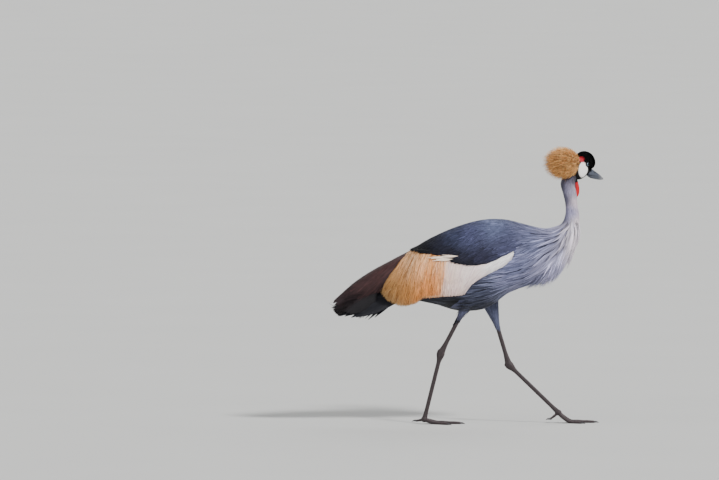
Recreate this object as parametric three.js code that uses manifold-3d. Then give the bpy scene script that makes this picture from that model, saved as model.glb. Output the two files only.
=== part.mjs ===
// Grey crowned crane in mid stride, life size, as a still model.
// Millimetres. +X is the way the bird walks, +Y its left side, +Z up, and the floor is z = 0.
// The right leg is behind and the left leg in front, and the head looks 38 degrees to the left.
import * as THREE from "three";
import { mergeVertices } from "three/addons/utils/BufferGeometryUtils.js";
import Module from "manifold-3d";

const wasm = await Module();
wasm.setup();

// Driving dimensions
const GAP = 0.35;
const TRUNK_STEPS = 18;
const TRUNK_SIDES = 14;
const NECK_STEPS = 12;
const NECK_SIDES = 10;
const HEAD_STEPS = 9;
const HEAD_SIDES = 12;
const REACH = 2000;
const HEAD_AT = new THREE.Vector3(340, 24, 790);
const HEAD_TURN = THREE.MathUtils.degToRad(38);
const MIDDLE_TOE = 112;
const CLAW = 15;
const EYE_RADIUS = 8.6;
const RIGHT = -1;
const LEFT = 1;

// Side outlines of the body without neck and wings: top x, top z, bottom x, bottom z, half width
const TRUNK_STATIONS = [
  [341, 612, 341, 604, 6],
  [324, 634, 331, 558, 44],
  [288, 622, 306, 508, 64],
  [238, 607, 264, 458, 78],
  [180, 617, 198, 434, 89],
  [110, 634, 118, 404, 96],
  [40, 633, 52, 358, 98],
  [-35, 613, -30, 350, 92],
  [-110, 581, -105, 370, 80],
  [-170, 545, -175, 386, 60],
  [-225, 500, -228, 410, 36],
  [-250, 462, -250, 452, 6],
];

// The neck's back x and z, front x and z, half width and sideways place, from its root in the breast up
const NECK_STATIONS = [
  [236, 560, 318, 520, 50, 0],
  [262, 600, 340, 578, 46, 0],
  [286, 622, 342, 616, 33, 0],
  [296, 650, 341, 646, 23, 0],
  [296, 680, 336, 678, 20, 0],
  [289, 714, 333, 712, 20.5, 0],
  [280, 748, 328, 744, 21.5, 0],
  [290, 780, 335, 768, 19, 7],
];

// Where the neck is parted from the trunk and from its own upper length.
const NECK_ROOT = [300, 0, 628];
const NECK_UP = [-0.32, 0, 0.947];
const NECK_MIDDLE = [312, 0, 694];

// The head in its own frame, x forward from the middle of the cheek: top, bottom and half width
const HEAD_STATIONS = [
  [-33, 4, -33, -2, 5],
  [-28, 22, -29, -18, 15.5],
  [-14, 34, -15, -31, 20],
  [4, 39, 1, -33, 21.5],
  [20, 35, 15, -27, 19.5],
  [31, 24, 26, -22, 15.5],
  [38, 13, 35, -18, 11.5],
  [41, 7, 40, -14, 8],
];
const BILL_STATIONS = [
  [30, 6, 24, -26, 11],
  [46, 0, 44, -30, 9.5],
  [62, -8.6, 61, -33.6, 7.6],
  [80, -19.2, 79, -36.6, 5.3],
  [91, -27.6, 91, -36.8, 3.2],
  [96.5, -32.8, 96, -36, 1.3],
];
const CAP_STATIONS = [
  [-5, 37, -5, 31, 6],
  [2, 48, -1, 18, 17],
  [17, 54.5, 10, 8, 23.5],
  [33, 52, 27, 0, 24],
  [46, 43, 40, -3, 21],
  [54, 30, 50, 1, 14.5],
  [57, 20, 56, 14, 5],
];
const GAPE = [new THREE.Vector2(10, -18), new THREE.Vector2(60, -24), new THREE.Vector2(110, -38)];
const EYE_AT = new THREE.Vector3(20, 11, 14);
const CREST_AT = new THREE.Vector3(-74, 0, 21);
const CREST_RADII = new THREE.Vector3(53, 54, 48);

// The folded wing's white and golden plate: top x, z and side place, bottom x, z and side place, bulge
const WING_STATIONS = [
  [140, 549, 84, 138, 541, 85, 0],
  [118, 531, 87, 124, 508, 88, 3],
  [66, 508, 90, 72, 477, 89, 4],
  [10, 506, 90, 14, 442, 87, 6],
  [-45, 530, 80, -40, 405, 78, 12],
  [-105, 535, 68, -100, 400, 68, 18],
  [-160, 546, 42, -160, 383, 60, 26],
  [-208, 521, 16, -210, 372, 52, 30],
  [-247, 492, 14, -256, 396, 45, 24],
  [-272, 462, 24, -276, 436, 36, 6],
];
const WING_THICK = 8;
const WHITE_ENDS = -92;

// Flight and tail feathers as fans, each from its first blade to its last, the place of the right side
const SECONDARY_TIPS = {
  count: 5,
  roots: [[-325, -10, 452], [-325, -28, 376]],
  tips: [[-419, -7, 381], [-411, -11, 364], [-398, -16, 350], [-366, -27, 343]],
  width: 25,
  thick: 6,
  lean: [64, 76],
};
const PRIMARIES = {
  count: 4,
  roots: [[-205, -24, 420], [-205, -44, 396]],
  tips: [[-413, -9, 362], [-396, -14, 337], [-372, -24, 331], [-334, -36, 333]],
  width: 30,
  thick: 6,
  lean: [50, 56],
};
const TAIL = {
  count: 7,
  roots: [[-190, -24, 418], [-190, 24, 418]],
  tips: [[-300, -44, 333], [-340, -20, 324], [-340, 20, 324], [-300, 44, 333]],
  width: 34,
  thick: 5,
  lean: [12, -12],
};

// Both folded wings' long inner feathers as one roof over the tail, in the same terms as the trunk.
const FOLD_STATIONS = [
  [-128, 564, -150, 440, 58],
  [-182, 541, -204, 420, 57],
  [-242, 507, -262, 406, 51],
  [-300, 475, -312, 388, 42],
  [-348, 444, -354, 362, 31],
  [-386, 412, -386, 344, 19],
  [-403, 394, -401, 354, 9],
];
const BREAST_PLUMES = {
  count: 7,
  root: [272, 500],
  tips: [[222, 424], [252, 444]],
  spread: 44,
  width: 13,
  thick: 9,
};

// Each leg: knee, ankle and ball of the foot, the way the foot points, and the feathered thigh's radii
const LEGS = [
  {
    side: RIGHT,
    name: "right",
    knee: [33, -48, 455],
    ankle: [-89, -27, 220],
    ball: [-140, -18, 14],
    toe_out: -6,
    thigh: [40, 28, 17, 11.5, 9.5],
  },
  {
    side: LEFT,
    name: "left",
    knee: [47, 48, 434],
    ankle: [122.5, 27, 181],
    ball: [276, 18, 33],
    toe_out: 5,
    thigh: [40, 27, 17.5, 11.5, 9.5],
  },
];
const TOES = [
  { name: "middle", splay: 0, length: MIDDLE_TOE, radius: 6.6 },
  { name: "inner", splay: 31, length: 78, radius: 6 },
  { name: "outer", splay: -29, length: 88, radius: 6 },
  { name: "hind", splay: 164, length: 27, radius: 4.6 },
];
const SOLE_SHARE = 0.72;
const DROP_LENGTH = 46;
const HIND_TOE_HEIGHT = 7.5;

// Materials
function paint(color, roughness) {
  return new THREE.MeshStandardMaterial({ color, roughness, metalness: 0 });
}
const SLATE = paint(0x59606e, 0.8);
const PALE_GREY = paint(0x9a9bab, 0.8);
const VELVET = paint(0x0d0c0e, 0.9);
const CHEEK = paint(0xe9e2de, 0.6);
const WHITE = paint(0xe6dcd6, 0.8);
const GOLD = paint(0xc89a52, 0.8);
const CHESTNUT = paint(0x47292a, 0.7);
const BLACK = paint(0x16151a, 0.6);
const LEG_SKIN = paint(0x3a3336, 0.6);
const HORN = paint(0x3b4048, 0.45);
const RED = paint(0xc2242c, 0.5);
const EYE = paint(0xb9c7d0, 0.15);

// Makes a manifold solid of a geometry, and turns its faces out where a mirrored shape has them in.
function solidOf(geometry) {
  const bare = geometry.clone();
  bare.deleteAttribute("normal");
  bare.deleteAttribute("uv");
  const merged = mergeVertices(bare, 1e-3);
  const triVerts = new Uint32Array(merged.index.array);
  const vertProperties = new Float32Array(merged.attributes.position.array);
  const made = new wasm.Manifold(new wasm.Mesh({ numProp: 3, vertProperties, triVerts }));
  if (made.volume() > 0) return made;
  for (let i = 0; i < triVerts.length; i += 3) {
    [triVerts[i + 1], triVerts[i + 2]] = [triVerts[i + 2], triVerts[i + 1]];
  }
  return new wasm.Manifold(new wasm.Mesh({ numProp: 3, vertProperties, triVerts }));
}

// The largest body of a solid, without the crumbs that a cut can leave.
function largest(solid) {
  return solid.decompose().reduce((a, b) => (b.volume() > a.volume() ? b : a));
}

// A named mesh of a solid.
function meshOf(name, solid, material) {
  const { vertProperties, triVerts, numProp } = largest(solid).getMesh();
  const place = new THREE.InterleavedBuffer(vertProperties, numProp);
  const geometry = new THREE.BufferGeometry();
  geometry.setAttribute("position", new THREE.InterleavedBufferAttribute(place, 3, 0));
  geometry.setIndex(new THREE.BufferAttribute(triVerts, 1));
  const flat = geometry.toNonIndexed();
  flat.computeVertexNormals();
  const mesh = new THREE.Mesh(flat, material);
  mesh.name = name;
  return mesh;
}

// A closed body: surface(t, angle) gives its side, and its ends are closed by flat caps.
function body(surface, middle, steps, sides) {
  const geometry = new THREE.CylinderGeometry(1, 1, 1, sides, steps);
  const place = geometry.getAttribute("position");
  for (let i = 0; i < place.count; i++) {
    const t = 0.5 - place.getY(i);
    const onSide = Math.hypot(place.getX(i), place.getZ(i)) > 0.5;
    const angle = Math.atan2(place.getX(i), place.getZ(i));
    const p = onSide ? surface(t, angle) : middle(t);
    place.setXYZ(i, p.x, p.y, p.z);
  }
  return geometry;
}

// A smooth curve through rows of numbers, read at a share t of its rows.
function smooth(rows) {
  const width = rows[0].length;
  const curves = [];
  for (let first = 0; first < width; first += 3) {
    const points = rows.map((r) => new THREE.Vector3(r[first], r[first + 1] ?? 0, r[first + 2] ?? 0));
    curves.push(new THREE.CatmullRomCurve3(points, false, "catmullrom", 0.5));
  }
  return (t) => curves.flatMap((c) => c.getPoint(t).toArray());
}

// A rounded form between a top and a bottom side outline. Its sections are superellipses.
function form(stations, steps, sides, grow = 0, squareness = 0.86) {
  const at = smooth(stations);
  const read = (t) => {
    const [topX, topZ, bottomX, bottomZ, half, aside = 0] = at(t);
    const up = new THREE.Vector3(topX - bottomX, 0, topZ - bottomZ);
    const height = up.length() / 2;
    up.normalize();
    const centre = new THREE.Vector3((topX + bottomX) / 2, aside, (topZ + bottomZ) / 2);
    return { centre, up, height, half };
  };
  const bend = (c) => Math.sign(c) * Math.abs(c) ** squareness;
  const surface = (t, angle) => {
    const { centre, up, height, half } = read(t);
    const p = centre.addScaledVector(up, (height + grow) * bend(Math.sin(angle)));
    p.y += (half + grow) * bend(Math.cos(angle));
    return p;
  };
  return body(surface, (t) => read(t).centre, steps, sides);
}

// A limb along a curve: a round or oval section of radius(t) across a path.
function limb(points, radius, steps, sides, oval = 1, grow = 0) {
  const path = new THREE.CatmullRomCurve3(points, false, "centripetal");
  const surface = (t, angle) => {
    const ahead = path.getTangent(t);
    const side = new THREE.Vector3(0, 1, 0).addScaledVector(ahead, -ahead.y).normalize();
    const front = new THREE.Vector3().crossVectors(side, ahead);
    const r = radius(t) + grow;
    const p = path.getPoint(t);
    p.addScaledVector(front, r * Math.sin(angle));
    return p.addScaledVector(side, r * oval * Math.cos(angle));
  };
  return body(surface, (t) => path.getPoint(t), steps, sides);
}

// A flat feather blade from root to tip. Its face looks along normal, and it is widest past its middle.
function blade(root, tip, normal, width, thick, grow = 0, steps = 4, sides = 4) {
  const along = tip.clone().sub(root).normalize();
  const across = new THREE.Vector3().crossVectors(normal, along).normalize();
  const face = new THREE.Vector3().crossVectors(along, across);
  const sag = root.distanceTo(tip) * 0.03;
  const middle = (t) => root.clone().lerp(tip, t).addScaledVector(face, sag * Math.sin(Math.PI * t));
  const surface = (t, angle) => {
    const wide = Math.max(Math.min(1, 0.55 + 0.6 * t) * Math.sqrt(Math.max(0, 1 - t ** 6)), 0.08);
    const p = middle(t);
    p.addScaledVector(across, ((width / 2) * wide + grow) * Math.cos(angle));
    return p.addScaledVector(face, ((thick / 2) * (1 - 0.6 * t) + grow) * Math.sin(angle));
  };
  return body(surface, middle, steps, sides);
}

// A big block that fills one side of a plane.
function halfSpace(point, normal, offset = 0) {
  const block = new THREE.BoxGeometry(REACH, REACH, REACH);
  const turn = new THREE.Quaternion().setFromUnitVectors(new THREE.Vector3(0, 0, 1), normal);
  const away = normal.clone().multiplyScalar(REACH / 2 + offset).add(point);
  block.applyQuaternion(turn);
  block.translate(away.x, away.y, away.z);
  return solidOf(block);
}

// The two sides of a solid parted by a thin plane cut.
function parted(solid, point, normal) {
  const ahead = solid.intersect(halfSpace(point, normal, GAP / 2));
  const behind = solid.intersect(halfSpace(point, normal.clone().negate(), GAP / 2));
  return [largest(ahead), largest(behind)];
}

function union(solids) {
  return solids.reduce((a, b) => a.add(b));
}

function vector(row) {
  return new THREE.Vector3(...row);
}

// Everything on one side of the bird's middle plane.
function sideSpace(side) {
  return halfSpace(new THREE.Vector3(), new THREE.Vector3(0, side, 0), GAP / 2);
}

// The blades of a fan. side mirrors it, and grow thickens every blade.
function fan(spec, side, grow = 0) {
  const tips = new THREE.CatmullRomCurve3(spec.tips.map(vector));
  const [first, last] = spec.roots.map(vector);
  const blades = [];
  for (let i = 0; i < spec.count; i++) {
    const share = i / (spec.count - 1);
    const root = first.clone().lerp(last, share);
    const tip = tips.getPoint(share);
    const lean = THREE.MathUtils.degToRad(THREE.MathUtils.lerp(spec.lean[0], spec.lean[1], share));
    const normal = new THREE.Vector3(0, -Math.sin(lean), Math.cos(lean));
    for (const v of [root, tip, normal]) v.y *= -side;
    blades.push(solidOf(blade(root, tip, normal, spec.width, spec.thick, grow)));
  }
  return union(blades);
}

// The curved plate of the folded wing's coverts and golden plumes.
function wingPlate(side, grow = 0) {
  const at = smooth(WING_STATIONS.map((r) => [...r, 0, 0]));
  const place = (t, v, out) => {
    const [topX, topZ, topY, bottomX, bottomZ, bottomY, bulge] = at(t);
    const up = (v + 1) / 2;
    const x = THREE.MathUtils.lerp(bottomX, topX, up);
    const z = THREE.MathUtils.lerp(bottomZ, topZ, up);
    const y = THREE.MathUtils.lerp(bottomY, topY, up) + bulge * (1 - v * v) + out;
    return new THREE.Vector3(x, side * y, z);
  };
  const surface = (t, angle) => {
    const [, topZ, , , bottomZ] = at(t);
    const taller = 1 + (2 * grow) / Math.abs(topZ - bottomZ);
    return place(t, taller * Math.sin(angle), (WING_THICK + grow) * Math.cos(angle));
  };
  return solidOf(body(surface, (t) => place(t, 0, 0), 14, 10));
}

// The roof of long feathers behind the trunk.
function foldForm(grow = 0) {
  return solidOf(form(FOLD_STATIONS, 8, 10, grow));
}

// One folded wing in its four parts: white coverts, golden plumes, secondaries and primaries.
function wing(side) {
  const name = side === LEFT ? "left" : "right";
  const own = sideSpace(side);
  const plate = wingPlate(side).intersect(own);
  const edge = new THREE.Vector3(WHITE_ENDS, 0, 480);
  const [white, gold] = parted(plate, edge, new THREE.Vector3(0.97, 0, -0.24).normalize());
  const taken = wingPlate(side, GAP).add(solidOf(form(TRUNK_STATIONS, TRUNK_STEPS, TRUNK_SIDES, GAP)));
  const secondaries = foldForm().add(fan(SECONDARY_TIPS, side)).intersect(own).subtract(taken);
  const foldRoom = foldForm(GAP).add(fan(SECONDARY_TIPS, side, GAP));
  const primaries = fan(PRIMARIES, side).intersect(own).subtract(taken).subtract(foldRoom);
  return [
    meshOf(`wing_${name}_coverts`, white, WHITE),
    meshOf(`wing_${name}_plumes`, gold, GOLD),
    meshOf(`wing_${name}_secondaries`, secondaries, CHESTNUT),
    meshOf(`wing_${name}_primaries`, primaries, BLACK),
  ];
}

// The loose feathers that hang from the lower breast on both sides.
function breastPlumes() {
  const plumes = [];
  const { count, root, tips, spread, width, thick } = BREAST_PLUMES;
  for (let i = 0; i < count; i++) {
    const share = (2 * i) / (count - 1) - 1;
    const [low, high] = tips;
    const tip = new THREE.Vector3(
      THREE.MathUtils.lerp(low[0], high[0], Math.abs(share)),
      spread * share,
      THREE.MathUtils.lerp(low[1], high[1], i % 2),
    );
    const top = new THREE.Vector3(root[0], tip.y * 0.9, root[1]);
    plumes.push(solidOf(blade(top, tip, new THREE.Vector3(1, 0, -0.6), width, thick)));
  }
  return union(plumes);
}

// The head's frame in the bird's frame.
function headMatrix() {
  const turn = new THREE.Quaternion().setFromAxisAngle(new THREE.Vector3(0, 0, 1), HEAD_TURN);
  return new THREE.Matrix4().compose(HEAD_AT, turn, new THREE.Vector3(1, 1, 1));
}

function eyeball(side, grow = 0) {
  const ball = new THREE.SphereGeometry(EYE_RADIUS + grow, 12, 8);
  ball.translate(EYE_AT.x, side * EYE_AT.y, EYE_AT.z);
  return solidOf(ball);
}

// The ball of stiff bristles: an uneven round form that narrows to its root on the nape.
function crestBall(grow = 0) {
  const ball = new THREE.IcosahedronGeometry(1, 3);
  const place = ball.getAttribute("position");
  const root = new THREE.Vector3(0.95, 0, -0.1);
  for (let i = 0; i < place.count; i++) {
    const p = new THREE.Vector3().fromBufferAttribute(place, i).normalize();
    const ripple = 1 + 0.025 * Math.sin(9 * p.x + 4 * p.z) * Math.cos(8 * p.y);
    const near = Math.max(0, p.dot(root) - 0.55);
    const pulled = p.multiply(CREST_RADII).multiplyScalar(ripple + grow / CREST_RADII.x);
    pulled.x += 26 * near;
    const at = pulled.add(CREST_AT);
    place.setXYZ(i, at.x, at.y, at.z);
  }
  return solidOf(ball);
}

// The red throat lappet, hanging in front of the neck.
function lappet(grow = 0) {
  const points = [[-12, 0, -28], [-7, 0, -48], [-6, 0, -66], [-9, 0, -87]].map(vector);
  const radius = (t) => 3.4 + 4.9 * Math.sin(Math.PI * Math.min(1, 0.25 + 0.72 * t));
  return solidOf(limb(points, radius, 7, 8, 0.62, grow));
}

// The prism on the upper mandible's side of the gape line.
function aboveGape(offset) {
  const shape = new THREE.Shape();
  shape.moveTo(GAPE[0].x, GAPE[0].y + offset);
  shape.lineTo(GAPE[1].x, GAPE[1].y + offset);
  shape.lineTo(GAPE[2].x, GAPE[2].y + offset);
  shape.lineTo(GAPE[2].x, 60);
  shape.lineTo(GAPE[0].x, 60);
  shape.closePath();
  const prism = new THREE.ExtrudeGeometry(shape, { depth: 60, bevelEnabled: false });
  prism.rotateX(Math.PI / 2);
  prism.translate(0, 30, 0);
  return solidOf(prism);
}

// The head's parts, in a group that carries the turn of the head.
function head() {
  const group = new THREE.Group();
  group.applyMatrix4(headMatrix());
  const skull = solidOf(form(HEAD_STATIONS, HEAD_STEPS, HEAD_SIDES));
  const grownSkull = solidOf(form(HEAD_STATIONS, HEAD_STEPS, HEAD_SIDES, GAP));
  const cap = solidOf(form(CAP_STATIONS, 8, 10)).subtract(grownSkull);
  const grownCap = solidOf(form(CAP_STATIONS, 8, 10, GAP));
  const sockets = eyeball(LEFT, GAP).add(eyeball(RIGHT, GAP));
  const bill = solidOf(form(BILL_STATIONS, 8, 9)).subtract(grownSkull).subtract(grownCap);
  const crest = crestBall().subtract(grownSkull).subtract(grownCap).subtract(neckRoomInHead());
  const wattle = lappet().subtract(grownSkull).subtract(neckRoomInHead());
  const pieces = [
    meshOf("head", skull.subtract(sockets), CHEEK),
    meshOf("forehead_cap", cap.subtract(sockets), VELVET),
    meshOf("bill_upper", bill.intersect(aboveGape(GAP / 2)), HORN),
    meshOf("bill_lower", bill.subtract(aboveGape(-GAP / 2)), HORN),
    meshOf("crest", crest, GOLD),
    meshOf("throat_wattle", wattle, RED),
    meshOf("eye_left", eyeball(LEFT), EYE),
    meshOf("eye_right", eyeball(RIGHT), EYE),
  ];
  group.add(...pieces);
  return group;
}

// The neck with a small gap round it, as the head's frame sees it.
function neckRoomInHead() {
  const room = form(NECK_STATIONS, NECK_STEPS, NECK_SIDES, GAP);
  room.applyMatrix4(headMatrix().invert());
  return solidOf(room);
}

// The head with a small gap round it, as the bird's frame sees it.
function headRoom() {
  const room = form(HEAD_STATIONS, HEAD_STEPS, HEAD_SIDES, GAP);
  room.applyMatrix4(headMatrix());
  return solidOf(room);
}

// Where a leg's thigh, shank and tarsus run.
function legPoints(leg) {
  const knee = vector(leg.knee);
  const ankle = vector(leg.ankle);
  const ball = vector(leg.ball);
  return { knee, ankle, ball };
}

function thighSolid(leg, grow = 0) {
  const { knee, ankle } = legPoints(leg);
  const points = [0, 0.25, 0.45, 0.62, 0.7].map((share) => knee.clone().lerp(ankle, share));
  const widths = new THREE.SplineCurve(leg.thigh.map((r, i) => new THREE.Vector2(i, r)));
  return solidOf(limb(points, (t) => widths.getPoint(t).y, 8, 10, 0.88, grow));
}

// The bare shank, with the swelling above the ankle.
function shankSolid(leg, grow = 0) {
  const { knee, ankle } = legPoints(leg);
  const points = [0.4, 0.6, 0.8, 1].map((share) => knee.clone().lerp(ankle, share));
  const radius = (t) => 6.6 + 5.2 * Math.max(0, (t - 0.72) / 0.28) ** 1.6;
  return solidOf(limb(points, radius, 8, 8, 0.86, grow));
}

// The tarsus from the ankle's knob to the ball of the foot.
function tarsusSolid(leg, grow = 0) {
  const { ankle, ball } = legPoints(leg);
  const points = [-0.05, 0.3, 0.65, 1].map((share) => ankle.clone().lerp(ball, share));
  const knob = (t) => 6.4 * Math.exp(-(((t - 0.055) / 0.075) ** 2));
  const foot = (t) => 2.2 * Math.max(0, (t - 0.86) / 0.14) ** 1.5;
  return solidOf(limb(points, (t) => 6.4 + knob(t) + foot(t), 14, 7, 0.84, grow));
}

function footHub(leg, grow = 0) {
  const hub = new THREE.SphereGeometry(1, 9, 6);
  hub.scale(11 + grow, 10 + grow, 9.4 + grow);
  hub.translate(...leg.ball);
  return solidOf(hub);
}

// Radius of a toe at a distance along the ground from the ball of the foot.
function toeRadius(spec, along) {
  return spec.radius * (1.1 - (0.4 * along) / spec.length);
}

// Height of a toe's middle line there. The hind toe stays clear of the floor.
function toeHeight(leg, spec, along) {
  const rest = spec.name === "hind" ? HIND_TOE_HEIGHT : toeRadius(spec, along) * SOLE_SHARE;
  const left = Math.max(0, 1 - along / DROP_LENGTH);
  return rest + (leg.ball[2] - rest) * left ** 1.6;
}

// A toe and its claw along the foot's own +X, with soles cut flat at the floor.
function toe(leg, spec) {
  const points = [];
  for (let i = 0; i <= 5; i++) {
    const along = (spec.length * i) / 5;
    points.push(new THREE.Vector3(along, 0, toeHeight(leg, spec, along)));
  }
  const solid = solidOf(limb(points, (t) => toeRadius(spec, t * spec.length), 6, 6, 0.95));
  const end = new THREE.Vector3(spec.length, 0, 0);
  const tipHeight = toeHeight(leg, spec, spec.length);
  const nail = [
    new THREE.Vector3(spec.length - 3, 0, tipHeight),
    new THREE.Vector3(spec.length + CLAW * 0.5, 0, tipHeight + 0.2),
    new THREE.Vector3(spec.length + CLAW, 0, tipHeight - 3),
  ];
  const claw = solidOf(limb(nail, (t) => 3.4 * (1 - 0.82 * t), 3, 6, 0.8));
  const floor = halfSpace(new THREE.Vector3(), new THREE.Vector3(0, 0, 1));
  const [front, back] = parted(solid.add(claw).intersect(floor), end, new THREE.Vector3(1, 0, 0));
  return { toeSolid: back, clawSolid: front };
}

// A foot in a group at the ball of the foot's place on the floor, turned the way the foot points.
function foot(leg) {
  const group = new THREE.Group();
  group.position.set(leg.ball[0], leg.ball[1], 0);
  group.rotation.z = THREE.MathUtils.degToRad(leg.toe_out);
  const room = new THREE.SphereGeometry(1, 9, 6);
  room.scale(11 + GAP, 10 + GAP, 9.4 + GAP);
  room.translate(0, 0, leg.ball[2]);
  const taken = [solidOf(room)];
  for (const spec of TOES) {
    const pivot = new THREE.Group();
    const turn = THREE.MathUtils.degToRad(spec.splay * leg.side * -1);
    pivot.rotation.z = turn;
    const { toeSolid, clawSolid } = toe(leg, spec);
    let free = toeSolid;
    for (const other of taken) free = free.subtract(turned(other, -turn));
    pivot.add(meshOf(`toe_${leg.name}_${spec.name}`, free, LEG_SKIN));
    pivot.add(meshOf(`claw_${leg.name}_${spec.name}`, clawSolid, HORN));
    group.add(pivot);
    taken.push(turned(grownToe(leg, spec), turn));
  }
  return group;
}

function grownToe(leg, spec) {
  const bigger = { ...spec, radius: spec.radius + GAP };
  return toe(leg, bigger).toeSolid;
}

// A solid turned about +Z.
function turned(solid, angle) {
  return solid.rotate([0, 0, THREE.MathUtils.radToDeg(angle)]);
}

// One leg's thigh, shank, tarsus and ball of the foot, parted from each other.
function leg(spec) {
  const group = new THREE.Group();
  const floor = halfSpace(new THREE.Vector3(), new THREE.Vector3(0, 0, 1));
  const shank = shankSolid(spec).subtract(thighSolid(spec, GAP)).subtract(tarsusSolid(spec, GAP));
  const tarsus = tarsusSolid(spec).subtract(footHub(spec, GAP));
  group.add(
    meshOf(`shank_${spec.name}`, shank, LEG_SKIN),
    meshOf(`tarsus_${spec.name}`, tarsus, LEG_SKIN),
    meshOf(`foot_${spec.name}`, footHub(spec).intersect(floor), LEG_SKIN),
    foot(spec),
  );
  return group;
}

// Trunk, tail, thighs and neck, parted from one another and from the wings.
function torso() {
  const group = new THREE.Group();
  const plates = wingPlate(RIGHT, GAP).add(wingPlate(LEFT, GAP));
  const trunkForm = solidOf(form(TRUNK_STATIONS, TRUNK_STEPS, TRUNK_SIDES));
  const trunkRoom = solidOf(form(TRUNK_STATIONS, TRUNK_STEPS, TRUNK_SIDES, GAP));
  const flight = fan(PRIMARIES, RIGHT, GAP).add(fan(PRIMARIES, LEFT, GAP)).add(foldForm(GAP));
  const tail = fan(TAIL, RIGHT).subtract(trunkRoom).subtract(flight).subtract(plates);
  const neck = solidOf(form(NECK_STATIONS, NECK_STEPS, NECK_SIDES));
  const [allNeck, neckFoot] = parted(neck.subtract(headRoom()), vector(NECK_ROOT), vector(NECK_UP));
  const [upper, lower] = parted(allNeck, vector(NECK_MIDDLE), new THREE.Vector3(0, 0, 1));
  const neckRoom = solidOf(form(NECK_STATIONS, NECK_STEPS, NECK_SIDES, GAP));
  const cutAway = neckRoom.intersect(halfSpace(vector(NECK_ROOT), vector(NECK_UP), -GAP / 2));
  const trunk = trunkForm.add(neckFoot).subtract(cutAway).add(breastPlumes()).subtract(plates);
  group.add(
    meshOf("neck_upper", upper, PALE_GREY),
    meshOf("neck_lower", lower, PALE_GREY),
    meshOf("trunk", trunk, SLATE),
    meshOf("tail", tail, BLACK),
  );
  for (const spec of LEGS) {
    const thigh = thighSolid(spec).subtract(trunkRoom).subtract(plates);
    group.add(meshOf(`thigh_${spec.name}`, thigh, SLATE));
  }
  return group;
}

const crane = new THREE.Group();
crane.name = "grey_crowned_crane";
crane.add(torso(), head(), ...wing(RIGHT), ...wing(LEFT));
for (const spec of LEGS) crane.add(leg(spec));

export default crane;
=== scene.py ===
"""Looks of a life-size grey crowned crane in mid stride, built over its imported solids.

Shapes are worked out in millimetres, in the frame of the solids, and made in metres. The bird walks
along +X, its left side is +Y, and the floor is z = 0.
"""

import logging
import math
from collections.abc import Callable, Sequence
from dataclasses import dataclass, replace
from enum import Enum

import bpy
import numpy as np
from mathutils.bvhtree import BVHTree
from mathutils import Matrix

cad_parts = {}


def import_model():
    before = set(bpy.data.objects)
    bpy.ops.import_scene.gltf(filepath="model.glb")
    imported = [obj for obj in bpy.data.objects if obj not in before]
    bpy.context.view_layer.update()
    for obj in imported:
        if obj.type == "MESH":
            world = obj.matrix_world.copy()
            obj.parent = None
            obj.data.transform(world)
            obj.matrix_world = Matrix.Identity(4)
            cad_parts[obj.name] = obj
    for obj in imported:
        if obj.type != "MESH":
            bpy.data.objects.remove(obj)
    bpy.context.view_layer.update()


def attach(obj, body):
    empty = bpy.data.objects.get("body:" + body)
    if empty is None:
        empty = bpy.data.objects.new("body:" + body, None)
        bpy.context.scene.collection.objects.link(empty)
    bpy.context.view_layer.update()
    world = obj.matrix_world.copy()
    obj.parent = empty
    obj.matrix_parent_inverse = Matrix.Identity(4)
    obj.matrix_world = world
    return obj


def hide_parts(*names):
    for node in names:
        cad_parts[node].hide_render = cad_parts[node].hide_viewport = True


LOG = logging.getLogger("crane")
MM = 0.001
SEED = 4574

# The head is modelled in a frame of its own, looking along +X, then turned and set in its place.
HEAD_AT = np.array([340.0, 24.0, 790.0])
HEAD_TURN = math.radians(38)
EYE_AT = np.array([20.0, 11.0, 14.0])
EYE_RADIUS = 8.6
LID_RADIUS = 5.9

# Feathers keep within WIDEST of the middle plane and sink by TUCK_DEPTH where a wing covers them.
WIDEST = 104.0
TUCK_DEPTH = 9.0

Array = np.ndarray
Rows = Sequence[Sequence[float]]
Outline = Sequence[tuple[float, float]]
Place = tuple[float, float, float]
Colour = tuple[float, float, float]
Toe = tuple[str, float, float, float]
Size = Callable[[Array], Array]
Pigments = Callable[[Array], Array]
Flow = Callable[[Array], Array]
Unwrap = Callable[[Array], Array]


class Side(Enum):
    """The bird's own sides."""

    RIGHT = -1
    LEFT = 1

    @property
    def word(self) -> str:
        """The side as the names of pieces have it."""
        return self.name.lower()


class Profile(Enum):
    """Feather outlines: widths at even steps from root to tip, as shares of the full width."""

    VANE = (0.45, 0.8, 1.0, 1.0, 0.92, 0.7, 0.25)
    LANCE = (0.45, 0.9, 1.0, 0.85, 0.62, 0.36, 0.06)
    HAIR = (0.7, 1.0, 0.95, 0.8, 0.55, 0.08)
    BLADE = (0.3, 0.7, 0.9, 1.0, 1.0, 0.97, 0.85, 0.5, 0.08)
    OVATE = (0.5, 0.85, 1.0, 0.97, 0.85, 0.6, 0.14)
    WEDGE = (0.06, 0.45, 0.85, 1.0, 0.9, 0.6, 0.3)


def unit(vectors: Array) -> Array:
    """Vectors of length one along the last axis."""
    return vectors / np.maximum(np.linalg.norm(vectors, axis=-1, keepdims=True), 1e-9)


def smoothstep(low: float, high: float, value: Array) -> Array:
    """A soft step from 0 at low to 1 at high."""
    t = np.clip((value - low) / (high - low), 0.0, 1.0)
    return t * t * (3.0 - 2.0 * t)


def linear(red: float, green: float, blue: float) -> Array:
    """A display colour of 0 to 255 parts as scene-linear parts."""
    c = np.array([red, green, blue], float) / 255.0
    return np.where(c <= 0.04045, c / 12.92, ((c + 0.055) / 1.055) ** 2.4)


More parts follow.
